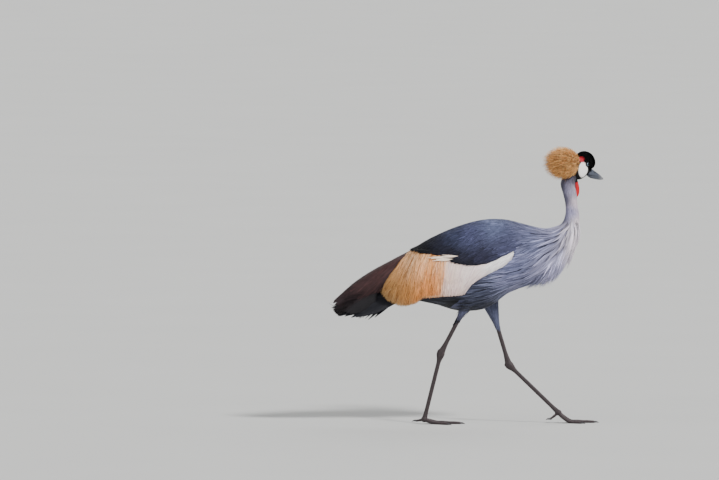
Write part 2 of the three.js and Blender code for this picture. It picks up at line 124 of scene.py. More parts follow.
def spline(rows: Rows, share: Array) -> Array:
    """Reads the smooth curve through rows of numbers.

    Args:
        rows: the numbers at even steps.
        share: where to read, from 0 to 1.

    Returns:
        One row for each share.
    """
    points = np.asarray(rows, float)
    padded = np.vstack([2 * points[0] - points[1], points, 2 * points[-1] - points[-2]])
    at = np.clip(np.asarray(share, float), 0, 1) * (len(points) - 1)
    i = np.minimum(at.astype(int), len(points) - 2)
    w = (at - i)[..., None]
    a, b, c, d = (padded[i + k] for k in range(4))
    start = (2 * w**3 - 3 * w**2 + 1) * b + (w**3 - 2 * w**2 + w) * (c - a) / 2
    return start + (3 * w**2 - 2 * w**3) * c + (w**3 - w**2) * (d - b) / 2


def inside(outline: Outline, x: Array, z: Array) -> Array:
    """Which points of the side view are inside an outline.

    Args:
        outline: its corners.
        x: where the points are along the bird.
        z: how high they are.

    Returns:
        True or False for each point.
    """
    result = np.zeros(x.shape, bool)
    corners = np.asarray(outline, float)
    for (x0, z0), (x1, z1) in zip(corners, np.roll(corners, -1, axis=0)):
        if z0 == z1:
            continue
        crosses = (z0 > z) != (z1 > z)
        result ^= crosses & (x < x0 + (z - z0) * (x1 - x0) / (z1 - z0))
    return result


def resample(rows: Array, share: Array) -> Array:
    """Reads lines of places at shares of the way along them.

    Args:
        rows: lines by steps by 3.
        share: lines by shares, from 0 to 1.

    Returns:
        Lines by shares by 3.
    """
    at = share * (rows.shape[1] - 1)
    low = np.minimum(at.astype(int), rows.shape[1] - 2)
    part = (at - low)[..., None]
    line = np.arange(len(rows))[:, None]
    return rows[line, low] * (1 - part) + rows[line, low + 1] * part


@dataclass
class Shell:
    """A closed surface: corner places in millimetres and faces of any size."""

    verts: Array
    faces: list[list[int]]

    def __add__(self, other: "Shell") -> "Shell":
        """Two shells side by side.

        Args:
            other: the shell to add.

        Returns:
            One shell that holds both.
        """
        shift = len(self.verts)
        moved = [[i + shift for i in face] for face in other.faces]
        return Shell(np.vstack([self.verts, other.verts]), self.faces + moved)


def rings(places: Array) -> Shell:
    """Closes rows of rings into a shell with flat ends.

    Args:
        places: rings by sides by 3.

    Returns:
        The closed shell.
    """
    count, sides = places.shape[:2]
    index = np.arange(count * sides).reshape(count, sides)
    a, b = index[:-1], index[1:]
    quads = np.stack([a, np.roll(a, -1, 1), np.roll(b, -1, 1), b], -1).reshape(-1, 4)
    faces = quads.tolist() + [index[0][::-1].tolist(), index[-1].tolist()]
    return Shell(places.reshape(-1, 3), faces)


def form(stations: Rows, steps: int, sides: int, grow: float = 0.0, square: float = 0.86) -> Shell:
    """A rounded form between a top and a bottom side outline.

    Args:
        stations: top x and z, bottom x and z, half width and sideways place.
        steps: rings along it.
        sides: corners of a ring.
        grow: how far its surface moves out.
        square: power of the superellipse.

    Returns:
        The closed form.
    """

    def bend(part: Array) -> Array:
        """A sine or cosine pushed out to the superellipse."""
        return np.sign(part) * np.abs(part) ** square

    rows = spline(stations, np.linspace(0, 1, steps + 1))
    top, bottom, half = rows[:, :2], rows[:, 2:4], rows[:, 4]
    aside = rows[:, 5] if rows.shape[1] > 5 else np.zeros(len(rows))
    height = np.linalg.norm(top - bottom, axis=1) / 2
    up = unit(top - bottom)
    angle = np.linspace(0, 2 * np.pi, sides, endpoint=False)
    lift = np.maximum(height + grow, 0.6)[:, None] * bend(np.sin(angle))
    wide = np.maximum(half + grow, 0.6)[:, None] * bend(np.cos(angle))
    middle = (top + bottom) / 2
    x = middle[:, :1] + up[:, :1] * lift
    z = middle[:, 1:] + up[:, 1:] * lift
    return rings(np.stack([x, aside[:, None] + wide, z], -1))


def limb(points: Rows, radius: Size, steps: int, sides: int, oval: float = 1.0) -> Shell:
    """A limb of round or oval section along a curve.

    Args:
        points: places the curve runs through.
        radius: the radius at a share of its length.
        steps: rings along it.
        sides: corners of a ring.
        oval: sideways size as a share of the fore-and-aft one.

    Returns:
        The closed limb.
    """
    share = np.linspace(0, 1, steps + 1)
    path = spline(points, share)
    ahead = unit(np.gradient(path, axis=0))
    aside = unit(np.array([0.0, 1.0, 0.0]) - ahead * ahead[:, 1:2])
    front = np.cross(aside, ahead)
    angle = np.linspace(0, 2 * np.pi, sides, endpoint=False)[None, :, None]
    r = radius(share)[:, None, None]
    fore = front[:, None] * r * np.sin(angle)
    wide = aside[:, None] * r * oval * np.cos(angle)
    return rings(path[:, None] + fore + wide)


def mesh_object(name: str, verts: Array, faces: Sequence[Sequence[int]]) -> bpy.types.Object:
    """Makes a smooth-shaded mesh object.

    Args:
        name: its name.
        verts: corner places in millimetres.
        faces: corner numbers of each face.

    Returns:
        The object, linked to the scene.
    """
    mesh = bpy.data.meshes.new(name)
    mesh.from_pydata((verts * MM).tolist(), [], [list(f) for f in faces])
    mesh.shade_smooth()
    piece = bpy.data.objects.new(name, mesh)
    bpy.context.scene.collection.objects.link(piece)
    return piece


def paint(mesh: bpy.types.Mesh, name: str, values: Array) -> None:
    """Stores colours or numbers on a mesh.

    Args:
        mesh: where to store them.
        name: the name that a material reads.
        values: a number, or 3 or 4 colour parts, for each corner place.
    """
    if values.ndim == 1:
        mesh.attributes.new(name, "FLOAT", "POINT").data.foreach_set("value", values.astype(np.float32))
        return
    if values.shape[1] == 3:
        values = np.hstack([values, np.ones((len(values), 1))])
    layer = mesh.attributes.new(name, "FLOAT_COLOR", "POINT")
    layer.data.foreach_set("color", values.astype(np.float32).ravel())


class Hide:
    """A surface of quads that feathers root in and lie along."""

    def __init__(self, shells: Sequence[Shell], voxel: float, smoothing: int) -> None:
        """Fuses shells that overlap and evens out the surface.

        Args:
            shells: closed shells.
            voxel: size of a face in millimetres.
            smoothing: rounds of evening out.
        """
        whole = shells[0]
        for shell in shells[1:]:
            whole = whole + shell
        rough = mesh_object("rough", whole.verts, whole.faces)
        remesh = rough.modifiers.new("fuse", "REMESH")
        remesh.mode = "VOXEL"
        remesh.voxel_size = voxel * MM
        fused = rough.evaluated_get(bpy.context.evaluated_depsgraph_get()).to_mesh()
        self.verts = np.zeros(len(fused.vertices) * 3)
        fused.vertices.foreach_get("co", self.verts)
        self.verts = self.verts.reshape(-1, 3) / MM
        self.faces = np.array([p.vertices[:] for p in fused.polygons if len(p.vertices) == 4])
        bpy.data.objects.remove(rough)
        for _ in range(smoothing):
            self.even(0.5)
        self.refresh()

    def even(self, strength: float) -> None:
        """Moves each corner towards the middle of its neighbours.

        Args:
            strength: how much of the way it moves.
        """
        total = np.zeros_like(self.verts)
        count = np.zeros(len(self.verts))
        for a, b in ((0, 1), (1, 2), (2, 3), (3, 0)):
            for i, j in ((a, b), (b, a)):
                near = self.verts[self.faces[:, j]]
                for axis in range(3):
                    total[:, axis] += np.bincount(self.faces[:, i], near[:, axis], len(count))
                count += np.bincount(self.faces[:, i], minlength=len(count))
        self.verts = self.verts + strength * (total / np.maximum(count, 1)[:, None] - self.verts)

    def refresh(self) -> None:
        """Works out normals and the search tree after the corners have moved."""
        corner = self.verts[self.faces]
        flat = np.cross(corner[:, 2] - corner[:, 0], corner[:, 3] - corner[:, 1])
        if (corner[:, 0] * flat).sum() < 0:
            self.faces = self.faces[:, ::-1]
            flat = -flat
        self.areas = np.linalg.norm(flat, axis=1) / 2
        normals = np.zeros_like(self.verts)
        for column in range(4):
            for axis in range(3):
                normals[:, axis] += np.bincount(self.faces[:, column], flat[:, axis], len(self.verts))
        self.vertex_normals = unit(normals)
        self.normals = unit(self.vertex_normals[self.faces].mean(1))
        self.tree = BVHTree.FromPolygons(self.verts.tolist(), self.faces.tolist())

    def nearest(self, points: Array) -> tuple[Array, Array]:
        """Finds the surface's nearest places to points.

        Args:
            points: where to look from.

        Returns:
            Places on the surface, and the directions out of it.
        """
        found = [self.tree.find_nearest(p) for p in points.tolist()]
        places = np.array([f[0][:] for f in found])
        return places, self.normals[np.array([f[2] for f in found])]

    def scatter(self, spacing: float, random: np.random.Generator) -> Array:
        """Strews points over the whole surface.

        Args:
            spacing: how far apart they are.
            random: where the random numbers come from.

        Returns:
            The points.
        """
        count = int(self.areas.sum() / spacing**2 * 4)
        pick = random.choice(len(self.areas), count, p=self.areas / self.areas.sum())
        a, b = random.random((2, count, 1))
        c = self.verts[self.faces[pick]]
        points = (c[:, 0] * (1 - a) + c[:, 1] * a) * (1 - b) + (c[:, 3] * (1 - a) + c[:, 2] * a) * b
        cells = np.floor(points / spacing).astype(np.int64)
        _, first = np.unique(cells, axis=0, return_index=True)
        return points[np.sort(first)]

    def lay(
        self, roots: Array, flow: Flow, length: Array, steps: int, lift: tuple[float, float],
        free: float = 1.0, droop: float = 0.0, swing: Array | float = 0.0, overhang: float = -2.0,
    ) -> tuple[Array, Array]:
        """Runs feathers over the surface.

        Args:
            roots: where they start.
            flow: the way they point at any place.
            length: how long each is.
            steps: parts of a feather.
            lift: height over the surface at the root and at the tip.
            free: share of the length after which a feather no longer hugs the surface.
            droop: how much a free end hangs down.
            swing: angle in radians that turns each from the flow.
            overhang: a feather hangs free once the surface faces down more than this part of its normal.

        Returns:
            Middle places and outward directions, each feathers by rows by 3.
        """
        place, up = self.nearest(roots)
        turn = np.broadcast_to(np.asarray(swing, float), (len(roots),))[:, None]

        def heading(at: Array, out: Array) -> Array:
            """The flow along the surface at places, turned by each feather's own angle.

            Args:
                at: the places.
                out: directions out of the surface there.

            Returns:
                The way to go on.
            """
            way = flow(at)
            way = unit(way - out * (way * out).sum(1, keepdims=True))
            return way * np.cos(turn) + np.cross(out, way) * np.sin(turn)
        way = heading(place, up)
        stride = (length / steps)[:, None]
        middle = place + up * lift[0]
        middles, ups = [middle], [up]
        loose = np.zeros((len(roots), 1), bool)
        for step in range(1, steps + 1):
            share = step / steps
            height = lift[0] + (lift[1] - lift[0]) * share**1.2
            hugged, out = self.nearest(place + way * stride)
            loose |= (share > free) | (out[:, 2:] < overhang)
            ahead = unit(way + np.array([0.0, 0.0, -droop]))
            hung = middle + ahead * stride
            near, away = self.nearest(hung)
            gap = ((hung - near) * away).sum(1, keepdims=True)
            hung = hung + away * np.maximum(0.0, height * 0.8 - gap)
            way = np.where(loose, ahead, unit(0.5 * way + 0.5 * heading(hugged, out)))
            middle = np.where(loose, hung, hugged + out * height)
            up = np.where(loose, unit(up * 0.8 + away * 0.2), out)
            place = np.where(loose, near, hugged)
            middles.append(middle)
            ups.append(up)
        return np.stack(middles, 1), np.stack(ups, 1)


class Signal:
    """A shader number that is used in plain arithmetic."""

    def __init__(self, shade: "Shade", socket: bpy.types.NodeSocket) -> None:
        """Wraps an output socket."""
        self.shade = shade
        self.socket = socket

    def math(self, operation: str, *values: "Signal | float") -> "Signal":
        """A Math node on values."""
        return self.shade.node("ShaderNodeMath", {"operation": operation}, dict(enumerate(values)))

    def __add__(self, other: "Signal | float") -> "Signal":
        """Sum."""
        return self.math("ADD", self, other)

    def __sub__(self, other: "Signal | float") -> "Signal":
        """Difference."""
        return self.math("SUBTRACT", self, other)

    def __rsub__(self, other: float) -> "Signal":
        """Difference from a number."""
        return self.math("SUBTRACT", other, self)

    def __mul__(self, other: "Signal | float") -> "Signal":
        """Product."""
        return self.math("MULTIPLY", self, other)

    def __abs__(self) -> "Signal":
        """Size without sign."""
        return self.math("ABSOLUTE", self)

    __radd__ = __add__
    __rmul__ = __mul__

    def sine(self) -> "Signal":
        """Sine of the value."""
        return self.math("SINE", self)

    def step(self, low: float, high: float) -> "Signal":
        """A soft step from 0 at low to 1 at high."""
        sockets = {"Value": self, "From Min": low, "From Max": high}
        return self.shade.node("ShaderNodeMapRange", {"interpolation_type": "SMOOTHSTEP"}, sockets)


class Shade:
    """The node tree of one material."""

    def __init__(self, name: str) -> None:
        """Starts an empty material.

        Args:
            name: its name.
        """
        self.material = bpy.data.materials.new(name)
        self.material.use_nodes = True
        self.tree = self.material.node_tree
        self.tree.nodes.clear()

    def node(
        self, kind: str, settings: dict[str, object], values: dict[int | str, object], out: int | str = 0,
    ) -> Signal:
        """Makes any node.

        Args:
            kind: the node's type.
            settings: properties, set first.
            values: numbers, colours or signals of its input sockets.
            out: the output to hand on.

        Returns:
            The chosen output.
        """
        made = self.tree.nodes.new(kind)
        for key, value in settings.items():
            setattr(made, key, value)
        for key, value in values.items():
            if isinstance(value, Signal):
                self.tree.links.new(value.socket, made.inputs[key])
            else:
                made.inputs[key].default_value = value
        return Signal(self, made.outputs[out])

    def stored(self, name: str, out: str = "Color") -> Signal:
        """What the mesh stores under a name."""
        return self.node("ShaderNodeAttribute", {"attribute_name": name}, {}, out)

    def split(self, colour: Signal) -> tuple[Signal, Signal, Signal]:
        """The three parts of a colour."""
        parts = self.node("ShaderNodeSeparateColor", {}, {0: colour}).socket.node.outputs
        return Signal(self, parts[0]), Signal(self, parts[1]), Signal(self, parts[2])

    def place(self) -> Signal:
        """The place on the object, in metres."""
        return self.node("ShaderNodeTexCoord", {}, {}, "Object")

    def noise(self, scale: float, detail: float = 2.0, stretch: Sequence[float] = (1, 1, 1)) -> Signal:
        """Noise of 0 to 1 about the middle, over the object.

        Args:
            scale: how fine it is.
            detail: finer layers added to it.
            stretch: how fine it is along each axis.

        Returns:
            The noise.
        """
        across = {0: self.place(), 1: tuple(stretch)}
        spot = self.node("ShaderNodeVectorMath", {"operation": "MULTIPLY"}, across)
        return self.node("ShaderNodeTexNoise", {}, {"Vector": spot, "Scale": scale, "Detail": detail})

    def blend(self, first: object, second: object, share: object) -> Signal:
        """A colour between two colours."""
        colours = {6: self.rgba(first), 7: self.rgba(second), 0: share}
        return self.node("ShaderNodeMix", {"data_type": "RGBA"}, colours, 2)

    def scaled(self, colour: object, factor: Signal) -> Signal:
        """A colour made lighter or darker."""
        start = colour if isinstance(colour, Signal) else tuple(float(c) for c in colour)
        return self.node("ShaderNodeVectorMath", {"operation": "SCALE"}, {0: start, "Scale": factor})

    def bump(self, height: Signal, distance: float, strength: float = 1.0) -> Signal:
        """A relief of a height, as a normal."""
        sockets = {"Height": height, "Distance": distance, "Strength": strength}
        return self.node("ShaderNodeBump", {}, sockets)

    @staticmethod
    def rgba(colour: object) -> object:
        """A colour as a mix socket takes it."""
        return colour if isinstance(colour, Signal) else (*(float(c) for c in colour), 1.0)

    def dress(self, **values: object) -> bpy.types.Material:
        """Ends the tree in one surface shader.

        Args:
            values: the shader's sockets by name, with _ for a space.

        Returns:
            The material.
        """
        sockets = {name.replace("_", " "): value for name, value in values.items()}
        surface = self.node("ShaderNodeBsdfPrincipled", {}, sockets)
        end = self.tree.nodes.new("ShaderNodeOutputMaterial")
        self.tree.links.new(surface.socket, end.inputs["Surface"])
        return self.material


@dataclass(frozen=True)
class PlumeFinish:
    """Feathers: a stored pigment, roots painted darker as shade, a pale or dark rim and fine barbs."""

    name: str
    rim: float = 0.0
    # how much darker the roots are painted: painted shade where the feathers cover each other
    root: float = 0.35
    vary: float = 0.3
    rough: float = 0.62
    sheen: float = 0.1
    shine: float = 0.25
    barbs: float = 60.0
    relief: float = 0.0004

    def material(self) -> bpy.types.Material:
        """Builds the finish.

        Returns:
            The material.
        """
        shade = Shade(self.name)
        share, side, tone = shade.split(shade.stored("lock"))
        edge = abs(side * 2.0 - 1.0)
        barb = (share * self.barbs * 6.0 + edge * 9.0 + tone * 40.0).sine()
        # Painted shade: each feather's covered root is darkened by the share root.
        light = 1.0 - self.root + share.step(0.0, 0.55) * self.root
        light = light * (1.0 - self.vary * 0.5 + tone * self.vary)
        light = light * (1.0 + edge.step(0.35, 1.0) * self.rim) * (1.0 + barb * 0.04)
        light = light * (0.9 + shade.noise(55.0, 3.0) * 0.2)
        normal = shade.bump(barb * 0.5 - edge * 0.8, self.relief, 0.5)
        return shade.dress(
            Base_Color=shade.scaled(shade.stored("pigment"), light),
            Roughness=self.rough + barb * 0.05,
            Normal=normal,
            Sheen_Weight=self.sheen,
            Sheen_Roughness=0.4,
            Specular_IOR_Level=self.shine,
        )


@dataclass(frozen=True)
class SkinFinish:
    """Skin: stored markings, fine grain, scaled where it is bare leg, with a painted highlight on the front
    scutes.
    """

    name: str = "bare_skin"
    grain: float = 900.0
    cells: float = 430.0
    relief: float = 0.0005

    def material(self) -> bpy.types.Material:
        """Builds the finish.

        Returns:
            The material.
        """
        shade = Shade(self.name)
        scaly, front, count = shade.split(shade.stored("texture"))
        grain = shade.noise(self.grain, 3.0)
        edges = {"Vector": shade.place(), "Scale": self.cells}
        cells = shade.node("ShaderNodeTexVoronoi", {"feature": "DISTANCE_TO_EDGE"}, edges)
        scale = cells.step(0.0, 0.14)
        joint = abs(count.math("FRACT", count) - 0.5).step(0.38, 0.5) * front * scaly
        small = scaly * (1.0 - front) * (1.0 - scale)
        light = (0.9 + grain * 0.2) * (1.0 - small * 0.45) * (1.0 - joint * 0.55)
        # Front scutes and the tops of the toes painted a quarter lighter: a painted highlight where the key
        # light falls.
        light = light * (1.0 + scaly * front * 0.25)
        height = grain * 0.3 - small * 1.2 - joint * 1.6
        return shade.dress(
            Base_Color=shade.scaled(shade.stored("pigment"), light),
            Roughness=0.6 - scaly * 0.12 + grain * 0.06,
            Normal=shade.bump(height, self.relief, 0.7),
            Specular_IOR_Level=0.35,
        )


@dataclass(frozen=True)
class HornFinish:
    """Horn of bill and claws: slate grey, paler tip, satin, fine lengthwise grain, nostril in painted shade.
    """

    name: str = "horn"
    dark: Colour = (58, 65, 80)
    pale: Colour = (140, 140, 142)

    def material(self) -> bpy.types.Material:
        """Builds the finish.

        Returns:
            The material.
        """
        shade = Shade(self.name)
        share, shaded_pit, _ = shade.split(shade.stored("lock"))
        grain = shade.noise(260.0, 4.0, stretch=(0.35, 1.0, 1.6))
        paler = share.step(0.55, 1.0) * 0.75 + grain * 0.18
        colour = shade.blend(linear(*self.dark), linear(*self.pale), paler)
        blotch = shade.noise(90.0, 3.0).step(0.35, 0.7)
        # The nostril slit is painted nearly black: painted shade in the opening.
        light = (0.78 + grain * 0.3 + blotch * 0.16) * (1.0 - shaded_pit * 0.95)
        return shade.dress(
            Base_Color=shade.scaled(colour, light),
            Roughness=0.36 + grain * 0.16,
            Normal=shade.bump(grain, 0.0003, 0.5),
            Specular_IOR_Level=0.5,
        )


@dataclass(frozen=True)
class EyeFinish:
    """A wet eye: black pupil, pale blue-grey iris with fine rays, a dark rim and painted shade under the
    lids.
    """

    name: str = "eye"
    iris: Colour = (112, 134, 150)
    rim: Colour = (40, 50, 60)
    pupil: tuple[float, float] = (3.0, 3.25)
    edge: tuple[float, float] = (4.0, 5.2)
    # where the eyeball past the iris turns to painted shade under the lids
    white: tuple[float, float] = (5.6, 6.0)

    def material(self) -> bpy.types.Material:
        """Builds the finish.

        Returns:
            The material.
        """
        shade = Shade(self.name)
        out = shade.stored("gaze", "Fac")
        across, upright, _ = shade.split(shade.stored("ray"))
        turn = across.math("ARCTAN2", upright, across)
        rays = (turn * 46.0).sine() * 0.5 + (turn * 87.0 + 1.0).sine() * 0.5
        iris = shade.scaled(linear(*self.iris), 0.8 + rays * 0.1 + shade.noise(700.0) * 0.25)
        ringed = shade.blend(iris, linear(*self.rim), out.step(*self.edge))
        seen = shade.blend((0.004, 0.004, 0.005), ringed, out.step(*self.pupil))
        # Past the iris the eyeball is painted nearly black: painted shade where it runs under the lids.
        outer = shade.blend(seen, (0.02, 0.018, 0.02), out.step(*self.white))
        return shade.dress(Base_Color=outer, Roughness=0.05, Specular_IOR_Level=0.25)


@dataclass(frozen=True)
class FloorFinish:
    """A pale matt studio floor with a faint mottle."""

    name: str = "studio_floor"
    colour: Colour = (0.62, 0.62, 0.60)

    def material(self) -> bpy.types.Material:
        """Builds the finish.

        Returns:
            The material.
        """
        shade = Shade(self.name)
        light = 0.97 + shade.noise(1.5, 3.0) * 0.06
        base = shade.scaled(self.colour, light)
        return shade.dress(Base_Color=base, Roughness=0.85, Specular_IOR_Level=0.2)


MIDLINE = (
    (-430, 360), (-250, 450), (-100, 465), (100, 495), (235, 535), (298, 600), (316, 680), (312, 800),
)


def body_unwrap(points: Array) -> Array:
    """Rolls the bird's skin out flat: the way along its middle line, and the angle round it.

    Args:
        points: places on it.

    Returns:
        Two numbers of 0 to 1 for each place.
    """
    line = np.array(MIDLINE, float)
    spans = np.diff(line, axis=0)
    lengths = np.linalg.norm(spans, axis=1)
    starts = np.concatenate([[0], np.cumsum(lengths)[:-1]])
    flat = points[:, [0, 2]]
    share = np.clip(((flat[:, None] - line[:-1]) * spans).sum(-1) / lengths**2, 0, 1)
    off = flat[:, None] - line[:-1] - share[..., None] * spans
    best = np.argmin((off**2).sum(-1), 1)
    row = np.arange(len(points))
    above = (off[row, best] * (spans[best][:, ::-1] * [-1, 1])).sum(-1) / lengths[best]
    along = starts[best] + share[row, best] * lengths[best]
    return np.stack([along / lengths.sum(), np.arctan2(points[:, 1], above) / (2 * np.pi) + 0.5], 1)


def ball_unwrap(centre: Array) -> Unwrap:
    """Rolls a round form out flat: the turn round its middle, and the angle from its top.

    Args:
        centre: its middle.

    Returns:
        The function that does it.
    """

    def rolled(points: Array) -> Array:
        """Rolls places on it out flat.

        Args:
            points: the places.

        Returns:
            Two numbers of 0 to 1 for each.
        """
        way = unit(points - centre)
        turn = np.arctan2(way[:, 1], way[:, 0]) / (2 * np.pi) + 0.5
        return np.stack([turn, np.arccos(way[:, 2]) / np.pi], 1)

    return rolled


class Coat:
    """The feathers of one piece, gathered into one mesh."""

    PATCH = 0.003

    def __init__(self, name: str, random: np.random.Generator, unwrap: Unwrap = body_unwrap) -> None:
        """Starts an empty coat.

        Args:
            name: the piece's name.
            random: where its random numbers come from.
            unwrap: rolls the places of the roots out flat.
        """
        self.name = name
        self.random = random
        self.unwrap = unwrap
        self.parts: list[dict[str, Array]] = []

    def add(
        self, middles: Array, ups: Array, width: Array, profile: Profile, pigment: Array,
        crown: float = 0.14, soft: float = 0.6, columns: int = 3,
    ) -> None:
        """Adds feathers.

        Args:
            middles: their middle lines, feathers by rows by 3.
            ups: outward directions along them.
            width: full width of each.
            profile: their outline.
            pigment: a colour for each.
            crown: how far the shaft stands up, as a share of the width.
            soft: how much the surface below sets the shading.
            columns: corner places across, 2 or 3.
        """
        count, rows = middles.shape[:2]
        share = np.linspace(0, 1, rows)
        cut = np.interp(share, np.linspace(0, 1, len(profile.value)), profile.value)
        ahead = unit(np.gradient(middles, axis=1))
        across = unit(np.cross(ahead, ups))
        face = unit(np.cross(across, ahead))
        half = (width[:, None] * cut / 2)[..., None]
        sides = (-1.0, 0.0, 1.0) if columns == 3 else (-1.0, 1.0)
        roundness = 0.35 if columns == 3 else 0.0
        verts, normals, locks = [], [], []
        tone = np.broadcast_to(self.random.random((count, 1)), (count, rows))
        spread = np.broadcast_to(share, (count, rows))
        for side in sides:
            raised = crown * half * 2 * (1 - abs(side))
            verts.append(middles + across * half * side + face * raised)
            normals.append(unit(face * (1 - soft) + ups * soft + across * side * roundness))
            level = np.full((count, rows), side * 0.5 + 0.5)
            locks.append(np.stack([spread, level, tone, np.ones((count, rows))], -1))
        grid = np.arange(count * rows * columns).reshape(count, rows, columns)
        a, b = grid[:, :-1, :-1], grid[:, :-1, 1:]
        c, d = grid[:, 1:, 1:], grid[:, 1:, :-1]
        self.parts.append({
            "verts": np.stack(verts, 2).reshape(-1, 3),
            "normals": np.stack(normals, 2).reshape(-1, 3),
            "locks": np.stack(locks, 2).reshape(-1, 4),
            "pigment": np.repeat(pigment, rows * columns, axis=0),
            "faces": np.stack([a, b, c, d], -1).reshape(-1, 4),
            "roots": np.repeat(self.unwrap(middles[:, 0]), rows * columns, axis=0),
        })

    def build(self, finish: PlumeFinish, slot: str, nodes: Sequence[str]) -> bpy.types.Object:
        """Makes the piece.

        Args:
            finish: its material.
            slot: not used.
            nodes: the solids it stands for.

        Returns:
            The piece, riding on the bird.
        """
        join = {key: np.vstack([p[key] for p in self.parts]) for key in self.parts[0] if key != "faces"}
        shifts = np.cumsum([0] + [len(p["verts"]) for p in self.parts[:-1]])
        faces = np.vstack([p["faces"] + s for p, s in zip(self.parts, shifts)])
        mesh = bpy.data.meshes.new(self.name)
        mesh.vertices.add(len(join["verts"]))
        mesh.vertices.foreach_set("co", (join["verts"] * MM).astype(np.float32).ravel())
        mesh.loops.add(faces.size)
        mesh.loops.foreach_set("vertex_index", faces.ravel().astype(np.int32))
        mesh.polygons.add(len(faces))
        mesh.polygons.foreach_set("loop_start", np.arange(0, faces.size, 4, dtype=np.int32))
        mesh.update(calc_edges=True)
        mesh.shade_smooth()
        low, high = join["roots"].min(0), join["roots"].max(0)
        at = 0.01 + 0.98 * (join["roots"] - low) / np.maximum(high - low, 1e-6)
        at += (join["locks"][:, [1, 0]] - 0.5) * self.PATCH
        layer = mesh.uv_layers.new(name="OFBake")
        layer.data.foreach_set("uv", at[faces.ravel()].astype(np.float32).ravel())
        paint(mesh, "lock", join["locks"])
        paint(mesh, "pigment", join["pigment"])
        mesh.normals_split_custom_set_from_vertices(join["normals"].tolist())
        mesh.materials.append(finish.material())
        piece = bpy.data.objects.new(self.name, mesh)
        bpy.context.scene.collection.objects.link(piece)
        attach(piece, "root")
        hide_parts(*nodes)
        LOG.info("%s: %d triangles", self.name, len(faces) * 2)
        return piece


@dataclass
class Tract:
    """One tract of feathers on a hide: where they root, their size and how they stand."""

    outline: Outline
    spacing: float
    length: tuple[float, float]
    width: float
    lift: tuple[float, float]
    profile: Profile = Profile.LANCE
    steps: int = 5
    columns: int = 3
    free: float = 1.0
    droop: float = 0.0
    swing: float = 5.0
    over: float = 10.0
    trim: bool = True
    soft: float = 0.6
    keep: Callable[[Array, Array], Array] | None = None
    tuck: Outline | None = None
    overhang: float = -2.0
    least: float = 9.0

    def room(self, middles: Array, length: Array, random: np.random.Generator) -> Array:
        """Finds how much of each feather fits in the outline, with a little over.

        Args:
            middles: their middle lines.
            length: their lengths.
            random: where the random numbers come from.

        Returns:
            The shares, from 0 to 1.
        """
        fine = resample(middles, np.tile(np.linspace(0, 1, self.steps * 4 + 1), (len(middles), 1)))
        held = inside(self.outline, fine[..., 0], fine[..., 2])
        share = np.cumprod(held, axis=1).sum(1) / held.shape[1]
        share = share + self.over * random.uniform(0.2, 1.0, len(share)) / length
        return np.clip(share, self.least / length, 1.0)

    def grow(self, coat: Coat, hide: Hide, flow: Flow, pigments: Pigments) -> None:
        """Adds the tract's feathers to a coat.

        Args:
            coat: the piece they belong to.
            hide: the surface they root in.
            flow: the way they point.
            pigments: their colours by place.
        """
        random = coat.random
        roots = hide.scatter(self.spacing, random)
        roots = roots[inside(self.outline, roots[:, 0], roots[:, 2])]
        if self.keep is not None:
            roots = roots[self.keep(roots, hide.nearest(roots)[1])]
        length = random.uniform(*self.length, len(roots))
        swing = np.radians(self.swing) * random.standard_normal(len(roots))
        middles, ups = hide.lay(
            roots, flow, length, self.steps, self.lift, self.free, self.droop, swing, self.overhang,
        )
        slim = np.ones(len(roots))
        if self.trim:
            share = self.room(middles, length, random)
            slim = np.clip(0.35 + share, 0.5, 1.0)
            at = share[:, None] * np.linspace(0, 1, self.steps + 1)
            middles, ups = resample(middles, at), resample(ups, at)
        if self.tuck is not None:
            under = inside(self.tuck, middles[..., 0], middles[..., 2])
            middles = middles - ups * under[..., None] * TUCK_DEPTH
        width = self.width * slim * random.uniform(0.8, 1.2, len(roots))
        held = np.abs(middles[..., 1]).max(1) < WIDEST
        middles, ups, width = middles[held], ups[held], width[held]
        seen = middles[:, self.steps // 2]
        coat.add(middles, ups, width, self.profile, pigments(seen), soft=self.soft, columns=self.columns)


@dataclass(frozen=True)
class Arrows:
    """A flow set by arrows in the side view: x, z and the way there."""

    arrows: Sequence[tuple[float, float, float, float]]

    def __call__(self, points: Array) -> Array:
        """Mixes the arrows near to places.

        Args:
            points: the places.

        Returns:
            A direction for each.
        """
        table = np.asarray(self.arrows, float)
        apart = ((points[:, None, [0, 2]] - table[:, :2]) ** 2).sum(-1)
        weight = 1.0 / (apart + 400.0) ** 2
        way = (weight[..., None] * unit(table[:, 2:])).sum(1)
        return unit(np.stack([way[:, 0], np.zeros(len(way)), way[:, 1]], 1))


@dataclass(frozen=True)
class Tint:
    """Feather colours by place in the side view, with a spread from feather to feather."""

    stops: Sequence[tuple[float, float, Colour]]
    vary: float = 0.14
    streak: Colour = (1.0, 1.0, 1.0)
    share: float = 0.0
    # how much of each colour is kept: below 1 it paints a layer dark as shade
    gain: float = 1.0

    def even(self, points: Array) -> Array:
        """Mixes the stops near to places, without spread.

        Args:
            points: the places.

        Returns:
            A scene-linear colour for each.
        """
        table = np.array([stop[:2] for stop in self.stops], float)
        colours = np.array([linear(*stop[2]) for stop in self.stops])
        apart = ((points[:, None, [0, 2]] - table) ** 2).sum(-1)
        weight = 1.0 / (apart + 200.0) ** 1.5
        return self.gain * (weight[..., None] * colours).sum(1) / weight.sum(1, keepdims=True)

    def __call__(self, points: Array) -> Array:
        """Mixes the stops, with a spread and a share of streaks.

        Args:
            points: the places.

        Returns:
            A scene-linear colour for each feather.
        """
        random = np.random.default_rng(len(points))
        colour = self.even(points)
        struck = random.random(len(points)) < self.share
        colour[struck] *= self.streak
        return colour * np.exp(self.vary * random.standard_normal((len(points), 1)))


